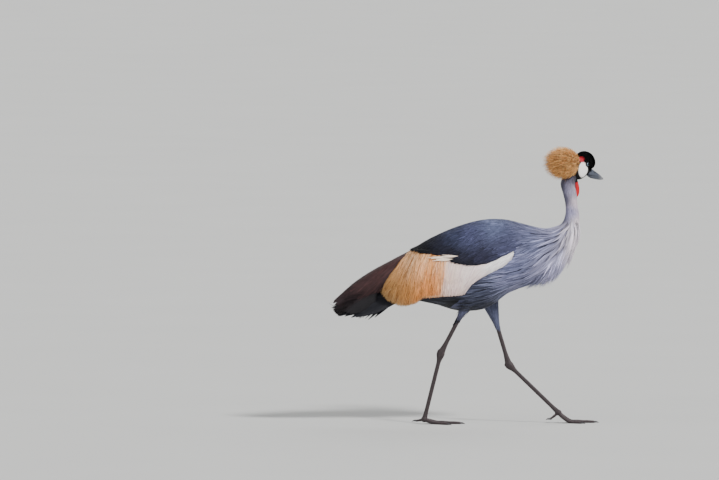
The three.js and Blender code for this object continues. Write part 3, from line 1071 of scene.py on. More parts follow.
# The bird's plan, as in its solids: rows of top x and z, bottom x and z, half width and place aside.
TRUNK = (
    (341, 612, 341, 604, 6), (324, 634, 331, 558, 44), (288, 622, 306, 508, 64), (238, 607, 264, 458, 78),
    (180, 617, 198, 434, 89), (110, 634, 118, 404, 96), (40, 633, 52, 358, 98), (-35, 613, -30, 350, 92),
    (-110, 581, -105, 370, 80), (-170, 545, -175, 386, 60), (-225, 500, -228, 410, 36),
    (-250, 462, -250, 452, 6),
)
NECK = (
    (236, 560, 318, 520, 50, 0), (262, 600, 340, 578, 46, 0), (286, 622, 342, 616, 33, 0),
    (296, 650, 341, 646, 23, 0), (296, 680, 336, 678, 20, 0), (289, 714, 333, 712, 20.5, 0),
    (281, 748, 328, 744, 20.5, 2), (298, 785, 337, 768, 15.5, 14),
)
FOLD = (
    (-128, 564, -150, 440, 58), (-182, 541, -204, 420, 57), (-242, 507, -262, 406, 51),
    (-300, 475, -312, 388, 42), (-348, 444, -354, 362, 31), (-386, 412, -386, 344, 19),
    (-403, 394, -401, 354, 9),
)
SKULL = (
    (-33, 4, -33, -2, 5), (-28, 22, -29, -18, 15.5), (-14, 34, -15, -31, 20), (4, 39, 1, -33, 21.5),
    (20, 35, 15, -27, 19.5), (31, 24, 26, -22, 15.5), (38, 13, 35, -18, 11.5), (41, 7, 40, -14, 8),
)
CAP = (
    (-5, 37, -5, 31, 6), (2, 48, -1, 18, 17), (17, 54.5, 10, 8, 23.5), (33, 52, 27, 0, 24),
    (46, 43, 40, -3, 21), (54, 30, 50, 1, 14.5), (57, 20, 56, 14, 5),
)
BILL = (
    (30, 4, 28, -19, 9.5), (46, 0, 44, -29.6, 9.3), (62, -8.6, 61, -33.6, 7.6),
    (80, -19.2, 79, -36.6, 5.3), (91, -27.6, 91, -36.8, 3.2), (96.5, -32.8, 96, -36, 1.3),
)
GAPE = ((10, -18), (60, -24), (110, -38))
LAPPET = ((-14, 0, -28), (-9, 0, -48), (-7, 0, -67), (-11, 0, -88))
CREST_AT = np.array([-74.0, 0.0, 21.0])
CREST_RADII = np.array([53.0, 54.0, 48.0])

# The folded wing: rows of top x, z and y, bottom x, z and y, and the bulge between them.
WING = (
    (140, 549, 84, 138, 541, 85, 0), (118, 531, 87, 124, 508, 88, 3), (66, 508, 90, 72, 477, 89, 4),
    (10, 506, 90, 14, 442, 87, 6), (-45, 530, 80, -40, 405, 78, 12), (-105, 535, 68, -100, 400, 68, 18),
    (-160, 546, 42, -160, 383, 60, 26), (-208, 521, 16, -210, 372, 52, 30),
    (-247, 492, 14, -256, 396, 45, 24), (-272, 462, 24, -276, 436, 36, 6),
)
WING_THICK = 8.0

# Toes: name, splay in degrees, length and radius.
TOES = (("middle", 0, 112, 6.6), ("inner", 31, 78, 6.0), ("outer", -29, 88, 6.0), ("hind", 164, 27, 4.6))
CLAW = 15.0
CLAW_SIDES = 20

# Borders of the plumage in the side view, x and z.
MANTLE_EDGE = (
    (136, 545), (122, 534), (75, 509), (26, 499), (-5, 500), (-48, 508), (-80, 528), (-139, 534),
    (-176, 540),
)
WING_EDGE = ((133, 518), (101, 492), (48, 465), (5, 438), (-16, 406), (-59, 403), (-112, 399))
WHITE_OVER = ((-126, 399), (-106, 480), (-92, 532))
GOLD_OVER = ((-90, 409), (-76, 480), (-68, 532))
GOLD_EDGE = (
    (-144, 403), (-165, 386), (-197, 377), (-219, 379), (-250, 393), (-270, 414), (-264, 437),
    (-246, 463), (-230, 486), (-211, 510), (-176, 540),
)
MANTLE = (
    (268, 640), (110, 665), (-60, 645), (-196, 565), *MANTLE_EDGE[::-1], (172, 560), (215, 585),
    (246, 606),
)
BREAST = (
    (370, 645), (268, 640), (246, 606), (215, 585), (172, 560), (136, 545), (133, 518), (120, 490),
    (150, 430), (200, 380), (370, 440),
)
BELLY = (
    *WING_EDGE, (-144, 396), (-165, 377), (-300, 440), (-260, 340), (0, 300), (220, 360), (200, 400),
    (120, 490),
)
WHITE = ((140, 552), *((x, z + 5) for x, z in MANTLE_EDGE[:7]), *WHITE_OVER[::-1], *WING_EDGE[::-1][1:])
GOLD = (*GOLD_OVER, (-139, 540), (-176, 545), *GOLD_EDGE[::-1][1:])
SECONDARY = (
    (-176, 540), *GOLD_EDGE[::-1][1:6], (-300, 397), (-330, 373), (-338, 360), (-366, 338), (-400, 335),
    (-432, 370), (-415, 410), (-350, 470), (-250, 530), (-180, 570),
)
UNDERWING = (
    (-280, 414), (-300, 397), (-330, 373), (-338, 360), (-366, 338), (-400, 300), (-260, 300),
    (-219, 372), (-256, 392),
)
NECK_ZONE = ((250, 606), (300, 560), (380, 600), (380, 752), (332, 758), (320, 800), (240, 800))

BODY_FLOW = Arrows((
    (312, 770, 0, -1), (310, 700, 0.05, -1), (318, 640, 0.0, -1), (290, 610, -0.5, -0.9),
    (250, 600, -1, -0.25), (335, 590, 0.05, -1), (320, 540, -0.35, -1), (240, 560, -0.9, -0.45),
    (250, 510, -0.75, -0.7), (190, 470, -1, -0.42), (270, 470, -0.55, -0.9), (150, 540, -1, -0.5),
    (150, 490, -1, -0.2), (70, 445, -1, -0.05), (180, 600, -1, -0.2), (100, 600, -0.9, -0.42),
    (20, 570, -0.85, -0.6), (-60, 560, -0.9, -0.5), (-130, 550, -0.95, -0.4), (-170, 550, -0.9, -0.45),
    (110, 440, -1, -0.12), (20, 400, -1, -0.2), (-80, 375, -1, 0.05), (-160, 395, -1, 0.2),
    (-220, 440, -1, -0.1), (-250, 480, -0.8, -0.62), (-320, 430, -0.82, -0.6), (-300, 380, -0.9, -0.35),
    (-390, 375, -0.9, -0.5),
))
HANG_FLOW = Arrows((
    (330, 560, -0.35, -1), (280, 500, -0.5, -0.9), (220, 450, -0.7, -0.75), (250, 470, -0.6, -0.85),
))
WING_FLOW = Arrows((
    (130, 535, -0.85, -0.6), (60, 485, -0.75, -0.75), (0, 470, -0.45, -1), (-50, 470, -0.2, -1),
    (-90, 500, -0.15, -1), (-100, 430, -0.1, -1), (-130, 500, -0.12, -1), (-170, 440, -0.2, -1),
    (-200, 480, -0.38, -1), (-250, 450, -0.6, -1), (-160, 390, -0.1, -1), (-230, 400, -0.3, -1),
))
HEAD_FLOW = Arrows((
    (36, -4, -1, -0.1), (20, -28, -1, -0.3), (-18, 32, -0.8, -0.7), (-31, 2, -0.1, -1),
    (-12, -34, -0.5, -1), (15, 30, -1, 0.3), (30, 20, -1, 0.4),
))


@dataclass(frozen=True)
class Leg:
    """One leg: knee, ankle and ball of the foot, the foot's turn and the feathered thigh's radii."""

    side: Side
    knee: Place
    ankle: Place
    ball: Place
    toe_out: float
    thigh: tuple[float, ...]
    scute: float = 4.4
    toe_scute: float = 3.4

    def between(self, start: Sequence[float], end: Sequence[float], shares: Sequence[float]) -> Array:
        """Places at shares of the way from start to end."""
        a, b = np.array(start), np.array(end)
        return a + (b - a) * np.array(shares)[:, None]

    def thigh_shell(self, grow: float) -> Shell:
        """Shapes the feathered part.

        Args:
            grow: how far its surface moves out.

        Returns:
            The closed shell.
        """
        path = self.between(self.knee, self.ankle, (0, 0.25, 0.45, 0.56, 0.64))
        rows = [(r,) for r in self.thigh]
        return limb(path, lambda t: spline(rows, t)[:, 0] + grow, 40, 32, 0.88)

    def on_thigh(self, points: Array) -> Array:
        """Finds places on the feathered part below the belly.

        Args:
            points: places on the skin.

        Returns:
            True or False for each.
        """
        a, b = np.array(self.knee), np.array(self.ankle)
        share = ((points - a) @ (b - a)) / ((b - a) @ (b - a))
        off = np.linalg.norm(points - a - np.clip(share, 0, 1)[:, None] * (b - a), axis=1)
        return (share > 0.12) & (share < 0.5) & (off < 34) & (points[:, 2] < 405)

    def toe_path(self, toe: Toe, steps: int) -> Array:
        """Runs the middle line of a toe from the ball of the foot to its end.

        Args:
            toe: its row in TOES.
            steps: how many places.

        Returns:
            The places.
        """
        name, splay, length, radius = toe
        along = np.linspace(0, length, steps)
        rest = 7.5 if name == "hind" else self.toe_radius(toe, along) * 0.72
        height = rest + (self.ball[2] - rest) * np.maximum(0, 1 - along / 46.0) ** 1.6
        return self.on_foot(np.stack([along, np.zeros(steps), height], 1), splay)

    @staticmethod
    def toe_radius(toe: Toe, along: Array) -> Array:
        """A toe's radius at a distance from the ball of the foot, with pads under its joints."""
        pads = 0.35 * np.sin(along / toe[2] * 3 * np.pi) ** 2
        return toe[3] * (1.1 - 0.4 * along / toe[2]) + pads - 0.2

    def on_foot(self, points: Array, splay: float) -> Array:
        """Turns places along a toe into the bird's frame.

        Args:
            points: places with the toe along +X.
            splay: its turn in degrees.

        Returns:
            The places.
        """
        turn = math.radians(self.toe_out - splay * self.side.value)
        x = points[:, 0] * math.cos(turn) + self.ball[0]
        y = points[:, 0] * math.sin(turn) + self.ball[1]
        return np.stack([x, y, points[:, 2]], 1)

    def bare_shells(self) -> list[Shell]:
        """Shapes the shank, tarsus, ball of the foot and toes.

        Returns:
            Their shells.
        """

        def swell(t: Array) -> Array:
            """The shank's radius, which grows into the ankle."""
            return 6.6 + 5.2 * np.maximum(0, (t - 0.72) / 0.28) ** 1.6

        def knob(t: Array) -> Array:
            """The tarsus' radius, with the ankle's knob and a swelling at the foot."""
            ankle = 6.4 * np.exp(-(((t - 0.055) / 0.075) ** 2))
            return 6.4 + ankle + 2.2 * np.maximum(0, (t - 0.86) / 0.14) ** 1.5

        def knuckle(t: Array) -> Array:
            """The radius of the ball of the foot."""
            return 9.4 * np.sqrt(np.maximum(0.02, 1 - (2 * t - 1) ** 2))

        shank = self.between(self.knee, self.ankle, (0.4, 0.6, 0.8, 1))
        tarsus = self.between(self.ankle, self.ball, (-0.05, 0.3, 0.65, 1))
        hub = np.array(self.ball) + np.array([[-10.5, 0, 0], [0, 0, 0], [10.5, 0, 0]])
        shells = [limb(shank, swell, 60, 24, 0.86), limb(tarsus, knob, 110, 24, 0.84)]
        shells.append(limb(hub, knuckle, 16, 20))
        for toe in TOES:
            shells.append(self.toe_shell(toe))
        return shells

    def toe_shell(self, toe: Toe) -> Shell:
        """One toe's closed shell."""
        return limb(self.toe_path(toe, 14), lambda t: self.toe_radius(toe, t * toe[2]), 50, 18, 0.95)

    def tracks(self) -> tuple[Array, Array, Array]:
        """Runs the lines that the scutes follow.

        Returns:
            Places, the number of scutes so far and the way that they face.
        """
        places, counts, faces = [], [], []
        for start, end in ((self.knee, self.ankle), (self.ankle, self.ball)):
            line = self.between(start, end, np.linspace(0, 1, 80))
            places.append(line)
            counts.append(np.linspace(0, np.linalg.norm(np.subtract(end, start)) / self.scute, 80))
            faces.append(np.broadcast_to(unit(np.array([1.0, 0.0, 0.2])), line.shape))
        for toe in TOES:
            line = self.toe_path(toe, 40)[8:]
            places.append(line)
            counts.append(np.linspace(0.2, 1, 32) * toe[2] / self.toe_scute)
            faces.append(np.broadcast_to(np.array([0.0, 0.0, 1.0]), line.shape))
        return np.vstack(places), np.concatenate(counts), np.vstack(faces)

    def claws(self) -> dict[str, Shell]:
        """Shapes the four claws.

        Returns:
            A shell for each toe's name.
        """
        found = {}
        for toe in TOES:
            tip = float(self.toe_path(toe, 30)[-1, 2])
            rise = np.array([0.0, 0.4, -0.6, -3.0])
            along = toe[2] + np.array([-4.0, CLAW * 0.35, CLAW * 0.7, CLAW])
            path = self.on_foot(np.stack([along, np.zeros(4), tip + rise], 1), toe[1])
            shell = limb(path, lambda t: 3.3 * (1 - 0.86 * t**1.3), 24, CLAW_SIDES, 0.72)
            shell.verts[:, 2] = np.maximum(shell.verts[:, 2], 0.15)
            found[toe[0]] = shell
        return found


LEGS = (
    Leg(Side.RIGHT, (33, -48, 455), (-89, -27, 220), (-140, -18, 14), -6, (40, 27, 13.2, 8.6, 7.4)),
    Leg(Side.LEFT, (47, 48, 434), (122.5, 27, 181), (276, 18, 33), 5, (40, 26, 12.8, 8.6, 7.4)),
)


def wing_plate(side: Side, grow: float) -> Shell:
    """Shapes the folded wing's plate of coverts and plumes.

    Args:
        side: which wing.
        grow: how far its surface moves out.

    Returns:
        The closed shell.
    """
    rows = spline(WING, np.linspace(0, 1, 61))[:, None]
    angle = np.linspace(0, 2 * np.pi, 56, endpoint=False)[None]
    taller = 1 + 2 * grow / np.abs(rows[..., 1] - rows[..., 4])
    v = np.maximum(taller, 0.3) * np.sin(angle)
    up = (v + 1) / 2
    x = rows[..., 3] + (rows[..., 0] - rows[..., 3]) * up
    z = rows[..., 4] + (rows[..., 1] - rows[..., 4]) * up
    y = rows[..., 5] + (rows[..., 2] - rows[..., 5]) * up + rows[..., 6] * (1 - v * v)
    return rings(np.stack([x, side.value * (y + (WING_THICK + grow) * np.cos(angle)), z], -1))


def turned(vectors: Array) -> Array:
    """Directions of the head's frame in the bird's frame."""
    c, s = math.cos(HEAD_TURN), math.sin(HEAD_TURN)
    return vectors @ np.array([[c, -s, 0], [s, c, 0], [0, 0, 1]]).T


def cheek_reach(points: Array) -> Array:
    """Measures how far out places are in the white cheek, in the head's frame.

    Args:
        points: the places.

    Returns:
        0 in its middle and 1 at its edge.
    """
    wide = 19.5 - 6.0 * smoothstep(4, 27, points[:, 2])
    oval = np.hypot((points[:, 0] - 2.0) / wide, (points[:, 2] + 1.0) / 26.0)
    return np.where(np.abs(points[:, 1]) > 8, oval, 9.0)


def red_reach(points: Array) -> Array:
    """The same for the red patch above it."""
    oval = np.hypot((points[:, 0] + 2) / 13.0, (points[:, 2] - 31) / 10.5)
    return np.where(np.abs(points[:, 1]) > 5, oval, 9.0)


def eye_reach(points: Array) -> Array:
    """Millimetres from an eye's middle, seen from the side."""
    away = np.hypot(points[:, 0] - EYE_AT[0], points[:, 2] - EYE_AT[2])
    return np.where(np.abs(points[:, 1]) > 5, away, 99.0)


def feathered(points: Array, _: Array) -> Array:
    """Finds the places of the head that have feathers.

    Args:
        points: places in the head's frame.

    Returns:
        True or False for each.
    """
    near_eye = eye_reach(points) < LID_RADIUS + 1.7
    bare = (cheek_reach(points) < 0.99) | (red_reach(points) < 0.97) | near_eye
    wattle = (points[:, 2] < -35) & (np.abs(points[:, 1]) < 9)
    return ~(bare | wattle)


class HeadHide(Hide):
    """The head's skin, in its own frame, with sockets, folds and the throat wattle."""

    RIM = 9.4
    BED = 7.3

    def __init__(self) -> None:
        """Fuses skull, forehead and wattle, and models the face."""

        def size(t: Array) -> Array:
            """The wattle's radius, fullest below its middle, with a round end."""
            end = np.sqrt(np.maximum(0.02, 1 - np.maximum(0, (t - 0.8) / 0.2) ** 2))
            return (3.6 + 4.3 * np.sin(np.pi * np.minimum(1, 0.06 + 0.66 * t)) ** 1.5) * end

        lappet = limb(LAPPET, size, 60, 40, 0.55)
        super().__init__([form(SKULL, 90, 96, -1.2), form(CAP, 80, 80, -4.0), lappet], 0.85, 5)
        self.carve()
        self.refresh()

    def carve(self) -> None:
        """Sinks the sockets and raises the bare skin's folds."""
        p, side = self.verts, np.sign(self.verts[:, 1])
        out = np.abs(p[:, 1])
        away = eye_reach(p)
        rim = EYE_AT[1] + np.sqrt(np.maximum(self.RIM**2 - away**2, 0))
        near = smoothstep(12.0, 7.0, away)
        out = out + near * (rim - out)
        inner = EYE_AT[1] + np.sqrt(np.maximum(self.BED**2 - away**2, 0))
        out = np.where(away < LID_RADIUS - 0.2, np.minimum(out, inner), out)
        p[:, 1] = side * out
        cheek = smoothstep(1.0, 0.9, cheek_reach(p))
        red = smoothstep(1.0, 0.85, red_reach(p))
        waves = np.sin(p[:, 0] * 0.75 + np.sin(p[:, 2] * 0.31) * 1.6) * 0.22
        folds = waves + np.sin(p[:, 2] * 0.5 + p[:, 0] * 0.23) * 0.14
        rings_round = np.sin(away * 2.2) * 0.2 * smoothstep(15, 9, away) * smoothstep(7, 8, away)
        hang = smoothstep(-34, -44, p[:, 2])
        ripple = np.sin(p[:, 2] * 0.9 + np.sin(p[:, 0] * 0.9) * 1.5 + p[:, 1] * 0.5) * 0.1 * hang
        lift = cheek * (0.7 + folds) + red * (0.9 + folds * 1.6) + rings_round + ripple
        self.refresh()
        self.verts = p + self.vertex_normals * lift[:, None]

    def pigment(self) -> Array:
        """Marks bare white, red and black skin.

        Returns:
            A scene-linear colour for each corner.
        """
        p = self.verts
        colour = np.tile(linear(20, 19, 23), (len(p), 1))
        white, pink, red = linear(255, 252, 250), linear(240, 150, 150), linear(168, 12, 34)
        cheek = smoothstep(1.03, 0.97, cheek_reach(p))[:, None]
        blush = (smoothstep(14, 27, p[:, 2]) * smoothstep(22, 5, p[:, 0]))[:, None]
        colour = colour + cheek * (white + blush * (pink - white) - colour)
        patch = smoothstep(1.08, 0.8, red_reach(p))[:, None]
        colour = colour + patch * (red - colour)
        hang = smoothstep(-33, -42, p[:, 2])[:, None]
        colour = colour + hang * (linear(190, 16, 28) - colour)
        lids = smoothstep(9.0, 7.6, eye_reach(p))[:, None]
        return colour + lids * (linear(34, 32, 38) - colour)


def hoop(path: Array, outward: Array, radius: float, sides: int = 12) -> Shell:
    """Shapes a closed ring of round section.

    Args:
        path: the middle of the ring's tube.
        outward: directions out of the surface below it.
        radius: the tube's radius.
        sides: corners round the tube.

    Returns:
        The closed ring.
    """
    ahead = unit(np.roll(path, -1, 0) - np.roll(path, 1, 0))
    across = np.cross(ahead, outward)
    angle = np.linspace(0, 2 * np.pi, sides, endpoint=False)[None, :, None]
    places = path[:, None] + radius * (outward[:, None] * np.cos(angle) + across[:, None] * np.sin(angle))
    grid = np.arange(len(path) * sides).reshape(len(path), sides)
    ahead_grid = np.roll(grid, -1, 0)
    quads = np.stack([grid, np.roll(grid, -1, 1), np.roll(ahead_grid, -1, 1), ahead_grid], -1)
    return Shell(places.reshape(-1, 3), quads.reshape(-1, 4).tolist())


def lid(side: Side) -> Shell:
    """Shapes the rounded rim of the lids, a little drawn out fore and aft.

    Args:
        side: which eye.

    Returns:
        The ring, in the head's frame.
    """
    turn = np.linspace(0, 2 * np.pi, 90, endpoint=False)
    flat = np.stack([np.cos(turn) * (LID_RADIUS + 0.5), np.sin(turn) * (LID_RADIUS - 0.1)], 1)
    away = np.linalg.norm(flat, axis=1)
    deep = EYE_AT[1] + np.sqrt(np.maximum((EYE_RADIUS + 0.25) ** 2 - away**2, 0))
    path = np.stack([EYE_AT[0] + flat[:, 0], side.value * deep, EYE_AT[2] + flat[:, 1]], 1)
    outward = unit(path - np.array([EYE_AT[0], side.value * EYE_AT[1], EYE_AT[2]]))
    return hoop(path, outward, 0.85)


@dataclass
class Skin:
    """The bird's skin in one piece: body under the feathers, head, wattle and bare legs."""

    body: Hide
    head: HeadHide
    tracts: Sequence[tuple[Outline, Tint]]
    # share of the coat's colour kept on the skin: painted shade for the gaps between feathers
    shade: float = 0.5
    down: Colour = (70, 74, 92)
    leg: Colour = (60, 50, 52)
    lid: Colour = (40, 38, 44)

    def body_pigment(self, points: Array) -> Array:
        """Marks the body as its coat is marked, but darker: painted shade where it shows between feathers.

        Args:
            points: places on it.

        Returns:
            A scene-linear colour for each.
        """
        colour = np.tile(linear(*self.down), (len(points), 1))
        for outline, tint in self.tracts[::-1]:
            held = inside(outline, points[:, 0], points[:, 2])
            colour[held] = tint.even(points[held])
        return colour * self.shade

    @staticmethod
    def leg_texture(hide: Hide) -> Array:
        """Marks scales all over, scutes in front, and the count of scutes so far.

        Args:
            hide: the skin of the legs.

        Returns:
            Three numbers for each corner.
        """
        parts = [leg.tracks() for leg in LEGS]
        places, counts, faces = (np.concatenate(rows) for rows in zip(*parts))
        texture = np.ones((len(hide.verts), 3))
        for start in range(0, len(hide.verts), 4000):
            block = slice(start, start + 4000)
            near = np.argmin(((hide.verts[block, None] - places) ** 2).sum(-1), 1)
            facing = (hide.vertex_normals[block] * faces[near]).sum(1)
            texture[block, 1] = smoothstep(0.25, 0.6, facing)
            texture[block, 2] = counts[near]
        return texture

    def build(self) -> bpy.types.Object:
        """Joins body, head and legs.

        Returns:
            The piece.
        """
        legs = Hide([shell for leg in LEGS for shell in leg.bare_shells()], 1.15, 3)
        legs.verts[:, 2] = np.maximum(legs.verts[:, 2], 0.1)
        lids = lid(Side.RIGHT) + lid(Side.LEFT)
        face_sets = [self.body.faces.tolist(), self.head.faces.tolist(), lids.faces, legs.faces.tolist()]
        head_sets = [turned(part.verts) + HEAD_AT for part in (self.head, lids)]
        vert_sets = [self.body.verts, *head_sets, legs.verts]
        faces, shift = [], 0
        for some, verts in zip(face_sets, vert_sets):
            faces += [[i + shift for i in face] for face in some]
            shift += len(verts)
        piece = mesh_object("skin", np.vstack(vert_sets), faces)
        plain = np.zeros((shift - len(legs.verts), 3))
        lid_colour = np.tile(linear(*self.lid), (len(lids.verts), 1))
        leg_colour = np.tile(linear(*self.leg), (len(legs.verts), 1))
        colours = [self.body_pigment(self.body.verts), self.head.pigment(), lid_colour, leg_colour]
        paint(piece.data, "pigment", np.vstack(colours))
        paint(piece.data, "texture", np.vstack([plain, self.leg_texture(legs)]))
        piece.data.materials.append(SkinFinish().material())
        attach(piece, "root")
        sides = [leg.side.word for leg in LEGS]
        names = [f"{part}_{side}" for side in sides for part in ("thigh", "shank", "tarsus", "foot")]
        names += [f"toe_{side}_{toe[0]}" for side in sides for toe in TOES]
        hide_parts("trunk", "neck_lower", "neck_upper", "head", "throat_wattle", *names)
        LOG.info("skin: %d faces", len(faces))
        return piece


@dataclass
class Bill:
    """The bill's two halves, with nostrils and a fine gape."""

    nostril: tuple[float, float] = (58.0, -12.2)
    gap: float = 0.14

    def half(self, upper: bool) -> bpy.types.Object:
        """Builds one half.

        Args:
            upper: whether it is the upper one.

        Returns:
            The piece.
        """
        shell = form(BILL, 120, 88, -0.05, 0.9)
        p = shell.verts
        line = np.interp(p[:, 0], [g[0] for g in GAPE], [g[1] for g in GAPE])
        edge = np.exp(-(((p[:, 2] - line) / 1.6) ** 2))
        p[:, 1] *= 1 - 0.05 * edge
        p[:, 2] = np.maximum(p[:, 2], line + self.gap) if upper else np.minimum(p[:, 2], line - self.gap)
        off = p[:, 2] - self.nostril[1] + 0.35 * (p[:, 0] - 58)
        slit = np.exp(-(((p[:, 0] - self.nostril[0]) / 5.5) ** 4) - (off / 1.5) ** 2)
        dip = np.exp(-(((p[:, 0] - 52) / 15) ** 2) - (off / 3.8) ** 2)
        shaded_pit = slit if upper else np.zeros(len(p))
        p[:, 1] -= np.sign(p[:, 1]) * np.minimum(np.abs(p[:, 1]) * 0.6, shaded_pit * 1.5 + dip * 0.7 * upper)
        share = np.clip((p[:, 0] - 30) / 66, 0, 1)
        name = "bill_upper" if upper else "bill_lower"
        piece = mesh_object("upper_bill" if upper else "lower_bill", turned(p) + HEAD_AT, shell.faces)
        # The nostril mask goes to the horn, which paints the slit dark as shade.
        paint(piece.data, "lock", np.stack([share, shaded_pit, share * 0], 1))
        piece.data.materials.append(HornFinish(name + "_horn").material())
        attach(piece, "root")
        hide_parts(name)
        LOG.info("%s: %d faces", name, len(shell.faces))
        return piece


@dataclass
class Eye:
    """One eyeball with a low cornea, that looks out and a little ahead."""

    side: Side
    radius: float = EYE_RADIUS - 0.15
    cornea: float = 0.35
    steps: int = 64
    sides: int = 72

    def build(self) -> bpy.types.Object:
        """Shapes and marks it.

        Returns:
            The piece.
        """
        axis = unit(np.array([0.2, float(self.side.value), 0.02]))
        across = unit(np.cross(axis, [0.0, 0.0, 1.0]))
        upright = np.cross(across, axis)
        polar = np.linspace(0.02, np.pi - 0.02, self.steps)[:, None, None]
        turn = np.linspace(0, 2 * np.pi, self.sides, endpoint=False)[None, :, None]
        radius = self.radius + self.cornea * np.exp(-((polar / 0.42) ** 2))
        circle = across * np.cos(turn) + upright * np.sin(turn)
        places = radius * (axis * np.cos(polar) + np.sin(polar) * circle)
        shell = rings(places + EYE_AT * [1, self.side.value, 1])
        name = f"eye_{self.side.word}"
        piece = mesh_object(name, turned(shell.verts) + HEAD_AT, shell.faces)
        gaze = np.where(polar < np.pi / 2, EYE_RADIUS * np.sin(polar), 9.0) + turn * 0
        paint(piece.data, "gaze", gaze.reshape(-1))
        flat = np.concatenate([np.cos(turn) + polar * 0, np.sin(turn) + polar * 0, polar + turn * 0], -1)
        paint(piece.data, "ray", flat.reshape(-1, 3))
        piece.data.materials.append(EyeFinish(name).material())
        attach(piece, "root")
        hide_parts(name)
        LOG.info("%s: %d faces", name, len(shell.faces))
        return piece


@dataclass
class Claws:
    """All eight claws."""

    dark: Colour = (52, 50, 54)
    pale: Colour = (92, 88, 88)

    def build(self) -> None:
        """Makes and dresses them."""
        for leg in LEGS:
            for toe, shell in leg.claws().items():
                name = f"claw_{leg.side.word}_{toe}"
                piece = mesh_object(name, shell.verts, shell.faces)
                share = np.repeat(np.linspace(0, 0.8, len(shell.verts) // CLAW_SIDES), CLAW_SIDES)
                paint(piece.data, "lock", np.stack([share, share * 0, share * 0], 1))
                piece.data.materials.append(HornFinish(name, self.dark, self.pale).material())
                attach(piece, "root")
                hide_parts(name)
                LOG.info("%s: %d faces", name, len(shell.faces))


@dataclass
class Fan:
    """Long stiff blades side by side, from the first root and tip to the last, as on the right side."""

    count: int
    roots: Rows
    tips: Rows
    width: float
    lean: tuple[float, float]
    rows: int = 14
    sag: float = 0.03
    stack: float = 0.5
    stray: float = 3.0

    def grow(self, coat: Coat, mirror: float, pigments: Pigments) -> None:
        """Adds the blades to a coat.

        Args:
            coat: the piece they belong to.
            mirror: 1 on the right side and -1 on the left.
            pigments: their colours by place.
        """
        share = np.linspace(0, 1, self.count)
        root, tip = spline(self.roots, share), spline(self.tips, share)
        tip = tip + coat.random.normal(0, self.stray, tip.shape) * [1, 0.2, 1]
        lean = np.radians(np.interp(share, [0, 1], self.lean))
        normal = np.stack([lean * 0, -np.sin(lean), np.cos(lean)], 1)
        along = unit(tip - root)
        across = unit(np.cross(normal, along))
        face = np.cross(along, across)
        t = np.linspace(0, 1, self.rows + 1)[None, :, None]
        length = np.linalg.norm(tip - root, axis=1)[:, None, None]
        middles = root[:, None] + (tip - root)[:, None] * t
        arch = length * self.sag * np.sin(np.pi * t)
        middles = middles + face[:, None] * (arch + np.arange(self.count)[:, None, None] * self.stack)
        ups = np.broadcast_to(face[:, None], middles.shape).copy()
        flip = np.array([1.0, mirror, 1.0])
        width = np.full(self.count, self.width)
        coat.add(middles * flip, ups * flip, width, Profile.BLADE, pigments(middles[:, 8]), soft=0.3)


# Mantle colours: lighter along the top of the back, partly painted highlight; darker along the lower edge
# and towards the rear.
SLATE_TINT_AND_PAINTED_LIGHT = Tint(
    (
        (200, 610, (90, 93, 121)), (100, 630, (90, 97, 127)), (20, 600, (67, 70, 99)),
        (60, 530, (40, 40, 60)), (-20, 510, (14, 13, 23)), (-80, 568, (26, 27, 40)),
        (-105, 552, (4, 4, 8)), (-140, 545, (3, 3, 5)), (-40, 540, (16, 15, 26)),
        (130, 560, (62, 64, 90)), (40, 505, (12, 11, 20)), (-30, 590, (48, 52, 74)),
    ),
    vary=0.13, streak=(1.4, 1.38, 1.38), share=0.15,
)
# Breast colours: paler towards the front, partly painted light where the key light falls on the grey plumes.
BREAST_TINT_AND_PAINTED_LIGHT = Tint(
    (
        (330, 620, (208, 200, 212)), (250, 590, (126, 127, 158)), (200, 560, (104, 108, 140)),
        (260, 480, (160, 158, 188)), (150, 500, (100, 104, 136)), (340, 560, (214, 204, 212)),
        (200, 450, (118, 120, 150)), (190, 590, (84, 88, 116)),
    ),
    vary=0.24, streak=(1.6, 1.55, 1.5), share=0.24,
)
# Belly colours: darker low down and back under the wing, painted shade on the grey flank and belly.
BELLY_TINT_AND_PAINTED_SHADE = Tint(
    (
        (110, 440, (96, 100, 126)), (30, 405, (66, 70, 90)), (0, 368, (28, 29, 37)),
        (-80, 372, (34, 36, 46)), (-180, 400, (20, 21, 27)), (60, 372, (44, 46, 60)),
        (-40, 390, (28, 29, 38)),
    ),
    vary=0.24, streak=(2.1, 2.05, 1.95), share=0.3,
)
THIGH_TINT = Tint(
    (
        (0, 380, (84, 88, 114)), (-40, 310, (62, 62, 80)), (80, 340, (78, 82, 106)),
    ),
    vary=0.12, streak=(1.3, 1.3, 1.3), share=0.15,
)
# Neck colours: pale in front and dark at the back, painted light and shade from the key light on the front;
# the near-black stops by the head are the real black nape.
NECK_TINT_AND_PAINTED_LIGHT = Tint(
    (
        (290, 700, (50, 56, 86)), (286, 640, (80, 86, 120)), (315, 660, (158, 155, 190)),
        (335, 690, (240, 222, 230)), (338, 630, (240, 226, 230)), (312, 730, (158, 155, 186)),
        (332, 735, (226, 210, 222)), (310, 610, (146, 144, 178)), (282, 740, (42, 46, 70)),
        (330, 764, (20, 20, 26)), (324, 776, (14, 14, 18)), (337, 750, (18, 18, 24)),
        (334, 772, (14, 14, 18)), (328, 758, (30, 30, 38)), (295, 770, (96, 94, 118)),
        (312, 762, (110, 108, 130)), (308, 784, (40, 40, 52)),
    ),
    vary=0.1,
)
WHITE_TINT = Tint(
    (
        (100, 510, (255, 252, 252)), (0, 470, (255, 236, 231)), (-50, 440, (255, 229, 222)),
        (-95, 480, (252, 204, 164)), (-50, 510, (252, 232, 224)), (-102, 420, (250, 204, 164)),
        (-75, 460, (254, 222, 204)),
    ),
    vary=0.05, streak=(0.84, 0.8, 0.85), share=0.2,
)
